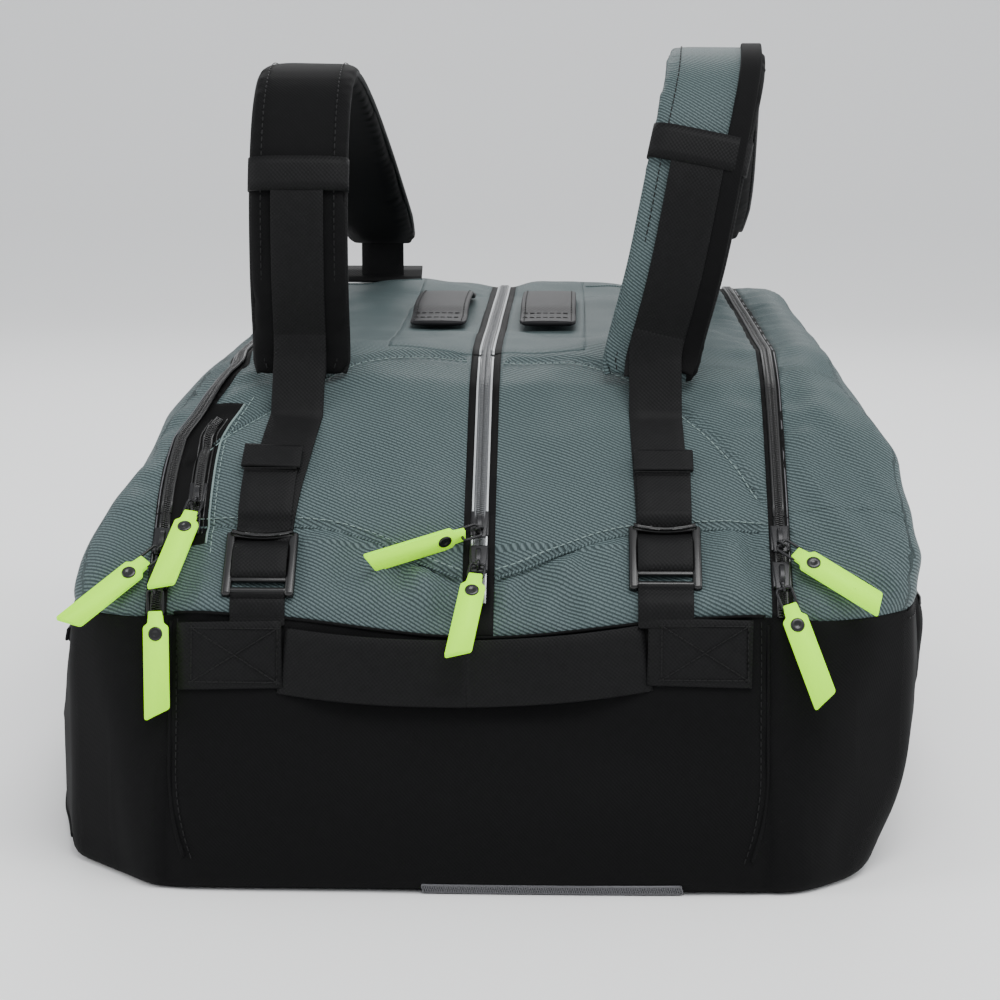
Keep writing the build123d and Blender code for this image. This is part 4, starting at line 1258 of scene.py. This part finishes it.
def inflate(obj, voxel, pressure, limit):
    """Even cells, then a short cloth run; no point may move further than the limit."""
    bpy.context.view_layer.objects.active = obj
    for other in bpy.context.selected_objects:
        other.select_set(False)
    obj.select_set(True)
    remesh = obj.modifiers.new("even", "REMESH")
    remesh.mode = "VOXEL"
    remesh.voxel_size = voxel * MM
    bpy.ops.object.modifier_apply(modifier="even")
    before = np.array([v.co[:] for v in obj.data.vertices])
    cloth_mod = obj.modifiers.new("cloth", "CLOTH")
    settings = cloth_mod.settings
    settings.use_pressure = True
    settings.uniform_pressure_force = pressure
    settings.effector_weights.gravity = 0.0
    settings.quality = 5
    settings.mass = 0.3
    settings.tension_stiffness = 22
    settings.bending_stiffness = 1.4
    cloth_mod.point_cache.frame_start = 1
    cloth_mod.point_cache.frame_end = CLOTH_FRAMES
    scene = bpy.context.scene
    for f in range(1, CLOTH_FRAMES + 1):
        scene.frame_set(f)
    bpy.ops.object.modifier_apply(modifier="cloth")
    scene.frame_set(1)
    after = np.array([v.co[:] for v in obj.data.vertices])
    move = after - before
    move -= move.mean(0)
    size = np.linalg.norm(move, axis=1)[:, None] + 1e-12
    move *= np.minimum(1, limit * MM / size)
    for v, c in zip(obj.data.vertices, before + move):
        v.co = c
    obj.data.polygons.foreach_set("use_smooth", [True] * len(obj.data.polygons))
    sub = obj.modifiers.new("smooth", "SUBSURF")
    sub.levels = sub.render_levels = 1
    return float(np.linalg.norm(move, axis=1).max() / MM)


def cloth_uv_from(obj, side):
    """Weave coordinates for a rebuilt pad: across, and along the pad's line."""
    line, _ = strap_line(side, STATIONS, foot=True)
    length = run_length(line)
    co = np.array([v.co[:] for v in obj.data.vertices]) / MM
    near = np.array([np.argmin(((line - c) ** 2).sum(1)) for c in co])
    along = np.gradient(line, axis=0)
    along /= np.linalg.norm(along, axis=1)[:, None]
    past = ((co - line[near]) * along[near]).sum(1)
    uv = np.stack([co[:, 0], length[near] + past], 1) * MM
    lay_uv(obj.data, uv)


def finish_strap(obj, side, slot, *nodes):
    """A strap piece: its placement is written into its mesh and the CAD parts it replaces are
    hidden.
    """
    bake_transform(obj)
    if nodes:
        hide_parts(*nodes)


for side in ("left", "right"):
    pad = pad_mesh(side, f"{side}_pad_cloth", BLACK)
    moved = 0.0
    moved = inflate(pad, 4.5, 4.0, MOST_MOVE)
    cloth_uv_from(pad, side)
    line, out_n = strap_line(side, STATIONS, foot=True)
    if side == "right":
        pad.data.materials.append(GREEN)
        for poly in pad.data.polygons:
            c = np.array(poly.center[:]) / MM
            i = int(np.argmin(((line - c) ** 2).sum(1)))
            facing = np.dot(np.array(poly.normal[:]), out_n[i])
            if facing > -0.3 and c[0] - line[i][0] < 21:    # the outer face, but for one edge
                poly.material_index = 1
    finish_strap(pad, side, "black_fabric", f"{side}_pad")
    print(side, "pad moved at most", round(moved, 2), "mm, cells", len(pad.data.polygons))

    trim, green_trim = Shape(), Shape()
    width = PAD_ENDS * 27.0
    for sign in (-1, 1):
        edge = line + X_DIR * (sign * width)[:, None]
        target = green_trim if side == "right" and sign < 0 else trim
        sweep(target, edge[2:-2], X_DIR * sign, round_section(2.0, 0.2, 8))
    rim = Shape()
    for sign in (-1, 1):
        edge = line + X_DIR * (sign * (width - 5.5))[:, None] + out_n * 5.6
        stitches(rim, edge[4:-4], out_n[4:-4], 0.7)
    finish_strap(trim.object(f"{side}_pad_binding", WEBBING), side, "black_webbing")
    if green_trim.count:
        finish_strap(green_trim.object(f"{side}_pad_green_binding", GREEN), side, "green_fabric")
    finish_strap(rim.object(f"{side}_pad_stitch", THREAD_DARK), side, "black_webbing")

    if side == "right":
        edge_strip = Shape()
        edge = line + X_DIR * (width - 6.4)[:, None] + out_n * 5.7
        sweep(edge_strip, edge[2:-2], out_n[2:-2], strap_section(12.5, 2.6, 0.0, 0.9))
        finish_strap(edge_strip.object("right_pad_edge", BLACK), side, "black_fabric")

    face_web = Shape()
    top_at = 34
    q, m = line[:top_at] + out_n[:top_at] * 7.4, out_n[:top_at]
    q = smooth_path(q[::3], 60)
    m = np.stack([np.interp(np.linspace(0, 1, 60), np.linspace(0, 1, top_at), m[:, i])
                  for i in range(3)], 1)
    sweep(face_web, q, m, strap_section(31.0, 1.5, 0.0, 0.5))
    finish_strap(face_web.object(f"{side}_face_webbing", WEBBING), side, "black_webbing",
                 f"{side}_strap_web")
    band = Shape()
    start_i = 31 if side == "left" else 32
    q, m = line[start_i:start_i + 5], out_n[start_i:start_i + 5]
    ring_section = [(math.copysign(abs(math.cos(t)) ** 0.55, math.cos(t)) * 29.8,
                     math.copysign(abs(math.sin(t)) ** 0.6, math.sin(t)) * 9.0 + 0.2)
                    for t in np.linspace(0, 2 * math.pi, 33)[:-1]]
    sweep(band, q, m, ring_section)
    finish_strap(band.object(f"{side}_keeper_band", WEBBING), side, "black_webbing",
                 f"{side}_keeper")

    # rear anchor: wing and standing web
    anchor = Shape()
    end_p = line[-1]
    ax = end_p[0]
    lo = -144.0 if side == "left" else ax - 30
    hi = ax + 30 if side == "left" else 163.0
    ys = np.linspace(178, 194, 4)
    pts = [[(lo + hi) / 2, y, TOP_Z + 1.5 + (y - 178) * 0.62] for y in ys]
    sweep(anchor, pts, Z_DIR, strap_section(hi - lo, 1.8, 0.0, 0.6))
    pts = [[ax, 184.5, z] for z in np.linspace(TOP_Z + 1, STRAP_Z + 40, 8)]
    section = strap_section(min(32, 2 * (163.5 - ax)), 1.8, -0.9, 0.6)
    sweep(anchor, pts, np.array([0, -1.0, 0]), section)
    finish_piece(anchor.object(f"{side}_rear_anchor", WEBBING), "bag", "black_webbing",
                 *(("rear_anchors",) if side == "left" else ()))
print("straps done")

# %% [markdown]
# ## End handle, carrying handle, side pockets and the rest
# The end handle hangs free between two sewn squares and is built as two halves. The
# carrying handle is two satin tabs beside the middle zip, each raised in its middle so
# that fingers pass below. The side pockets are thin sheets laid a little off the black
# cloth, which is simpler than a second shell.

# %% Handles and pockets


def on_front(x, zz, height=0.0):
    return np.array([x, -YOKE_Y - LEAN * (YOKE_Z - zz), zz]) + FRONT_OUT * height


UP_FRONT = np.array([0, LEAN, 1]) / math.hypot(1, LEAN)
SEWN_CROSS = [(-24, -15), (24, -15), (24, 15), (-24, 15), (-24, -15), (24, 15), (24, -15),
              (-24, 15)]
sewn = Shape()
cross_thread = Shape()
for cx, zz, turn in ((-138, 131, 0.02), (124, 134, -0.02)):
    xs = np.linspace(cx - 29, cx + 29, 12)
    p = np.array([on_front(v, zz + (v - cx) * turn, 0.9) for v in xs])
    p, _ = dressed(cast(p - FRONT_OUT * 40, FRONT_OUT, 80))
    sweep(sewn, p + FRONT_OUT * 0.3, FRONT_OUT, strap_section(38, 2.2, 0.0, 0.8))
    mid = p[6] + FRONT_OUT * 2.6
    for a, b in zip(SEWN_CROSS[:-1], SEWN_CROSS[1:]):
        pts = np.array([mid + X_DIR * (a[0] + (b[0] - a[0]) * t)
                        + UP_FRONT * (a[1] + (b[1] - a[1]) * t) for t in np.linspace(0, 1, 8)])
        stitches(cross_thread, pts, FRONT_OUT, 0.25, 3.4)
p, n = flank(-1, np.linspace(-245, -233, 5), 112)     # the small loop on the left side
sweep(sewn, p + n * 2.0, n, strap_section(8, 3.2, -1.2, 1.2))
sweep(sewn, p + n * 5.0, n, strap_section(8, 2.0, -1.2, 0.8))
finish_piece(sewn.object("sewn_patches", WEBBING), "bag", "black_webbing", "sewn_webbing")
finish_piece(cross_thread.object("patch_stitches", THREAD_DARK), "bag", "black_webbing")

xs = np.linspace(-109, 95, 70)
t = (xs + 109) / 204
bow = 4 * t * (1 - t)
zz = 128 - 7.5 * bow + 3 * t
height = 1.2 + 7.0 * np.clip(bow * 1.6, 0, 1)
band_p = np.array([on_front(a, b, c) for a, b, c in zip(xs, zz, height)])
for name, part, s0, s1 in (("left", slice(0, 36), (-0.100, 0, 0), (-0.062, 0, 0)),
                           ("right", slice(35, 70), (0.086, 0, 0), (0.048, 0, 0))):
    half = Shape()
    sweep(half, band_p[part], FRONT_OUT, strap_section(37.5, 2.3, -1.1, 0.8))
    obj = half.object(f"end_handle_{name}", WEBBING)
    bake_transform(obj)
    if name == "left":
        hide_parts("end_handle")

POCKET_Y, POCKET_Z = 213, (36, 138)      # outline of a side pocket
for side, sign in (("left", -1), ("right", 1)):
    tab = Shape()
    path = [(-95, 1.3), (-78, 1.6), (-62, 2.6), (-46, 6.6), (-25, 8.2), (0, 8.6), (25, 8.2),
            (46, 6.6), (62, 2.6), (78, 1.6), (95, 1.3)]
    pts = smooth_path([(sign * 36, a, TOP_Z + b) for a, b in path], 60)
    sweep(tab, pts, Z_DIR, strap_section(37, 2.6, -1.0, 1.2, 0.5),
          scale=0.86 + 0.14 * end_taper(60, 2.5))
    finish_piece(tab.object(f"{side}_grab_tab", SATIN), f"middle_{side}_body", "charcoal_satin",
                 f"grab_handle_{side}")
    sew = Shape()
    for sx in (-15.5, 15.5):
        stitches(sew, pts[2:-2] + np.array([sx, 0, 1.9]), Z_DIR, 0.2)
    for row in (6, -7, 12, -13):
        line = np.array([pts[row] + np.array([a, 0, 2.0]) for a in np.linspace(-15, 15, 10)])
        stitches(sew, line, Z_DIR, 0.2)
    finish_piece(sew.object(f"{side}_grab_stitch", THREAD_DARK), f"middle_{side}_body",
                 "charcoal_satin")

    ys, zs = np.linspace(-POCKET_Y, POCKET_Y, 72), np.linspace(*POCKET_Z, 22)
    gy, gz = [g.ravel() for g in np.meshgrid(ys, zs, indexing="ij")]
    p, n = flank(sign, gy, gz)
    rim_d = np.minimum(np.minimum(gy + POCKET_Y, POCKET_Y - gy),
                       np.minimum(gz - POCKET_Z[0], POCKET_Z[1] - gz))
    lift = 1.0 + 6.0 * np.clip(rim_d / 16, 0, 1) ** 0.6
    lift += 0.8 * lumps(p, 40, 50, 30, 2.9 + sign)
    p = p + n * lift[:, None]
    faces = [(i * 22 + j, i * 22 + j + 1, (i + 1) * 22 + j + 1, (i + 1) * 22 + j)
             for i in range(71) for j in range(21)]
    if sign < 0:
        faces = [tuple(reversed(f)) for f in faces]
    pocket = Shape()
    pocket.add(p, faces, np.stack([gy, gz], 1))
    obj = pocket.object(f"{side}_side_pocket", BLACK)
    thicken(obj, 1.6)
    finish_piece(obj, "bag", "black_fabric", *(("side_pockets",) if sign < 0 else ()))
    edge = Shape()
    ys = np.linspace(-205, 205, 90)
    p, n = flank(sign, ys, 128)
    zip_coil(edge, p + n * 6.0, n, 2.2)
    finish_piece(edge.object(f"{side}_pocket_coil", COIL_BLACK), "bag", "black_fabric")
for node in ("dividers", "accessory_pocket"):
    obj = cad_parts[node]
    obj.data.materials.clear()
    obj.data.materials.append(LINING)
    if not obj.data.uv_layers.get("cloth"):
        lay_uv(obj.data, np.array([v.co[1:] for v in obj.data.vertices]))
print("handles and pockets done")

# %% [markdown]
# ## Studio and camera
# The bag is shown as on a pale studio sweep: a floor that curves up behind it, with soft light
# from above, both sides and the back. The camera stands low before the front end and is
# placed by numbers, so that it never depends on the pose.

# %% Studio
scene = bpy.context.scene
sweep_line = [(-6.0, 0.0)] + [(2.4 + 1.6 * math.sin(t), 1.6 - 1.6 * math.cos(t))
                             for t in np.linspace(0, math.pi / 2, 14)] + [(4.0, 6.0)]
back = bpy.data.meshes.new("ground")
back.from_pydata([(sx, a, b) for sx in (-7, 7) for a, b in sweep_line], [],
                 [(i, i + 16, i + 17, i + 1) for i in range(15)])
back.polygons.foreach_set("use_smooth", [True] * 15)
ground = bpy.data.objects.new("ground", back)
scene.collection.objects.link(ground)
pale = bpy.data.materials.new("pale_ground")
pale.use_nodes = True
paint = pale.node_tree.nodes["Principled BSDF"].inputs
paint["Base Color"].default_value = (0.93, 0.93, 0.93, 1)
paint["Roughness"].default_value = 0.7
ground.data.materials.append(pale)
world = bpy.data.worlds.new("studio")
world.use_nodes = True
sky = world.node_tree.nodes["Background"].inputs
sky["Color"].default_value = (0.95, 0.97, 1.0, 1)
sky["Strength"].default_value = 0.8
scene.world = world


def area(name, place, target, size, power):
    light = bpy.data.lights.new(name, "AREA")
    light.shape = "RECTANGLE"
    light.size, light.size_y = size
    light.energy = power
    lamp = bpy.data.objects.new(name, light)
    lamp.location = place
    lamp.rotation_euler = (Vector(target) - Vector(place)).to_track_quat("-Z", "Y").to_euler()
    scene.collection.objects.link(lamp)


area("key", (0.5, -1.2, 2.2), (0, -0.1, 0.2), (1.6, 1.0), 42)
area("left_fill", (-2.2, -0.9, 1.2), (0, 0, 0.2), (1.2, 1.6), 24)
area("right_fill", (2.3, -0.4, 1.3), (0, 0, 0.2), (1.2, 1.6), 24)
area("back", (0.0, 1.8, 1.7), (0, 0, 0.3), (2.0, 0.8), 26)

camera = bpy.data.objects.new("photo_camera", bpy.data.cameras.new("photo_camera"))
camera.location = (0.05225, -1.691, 0.47025)
camera.rotation_euler = (math.radians(90 - 10.67), 0, math.radians(1.70))
camera.data.sensor_width = 36
camera.data.lens = 2456 * 36 / 1000
scene.collection.objects.link(camera)
scene.camera = camera
print("studio ready")
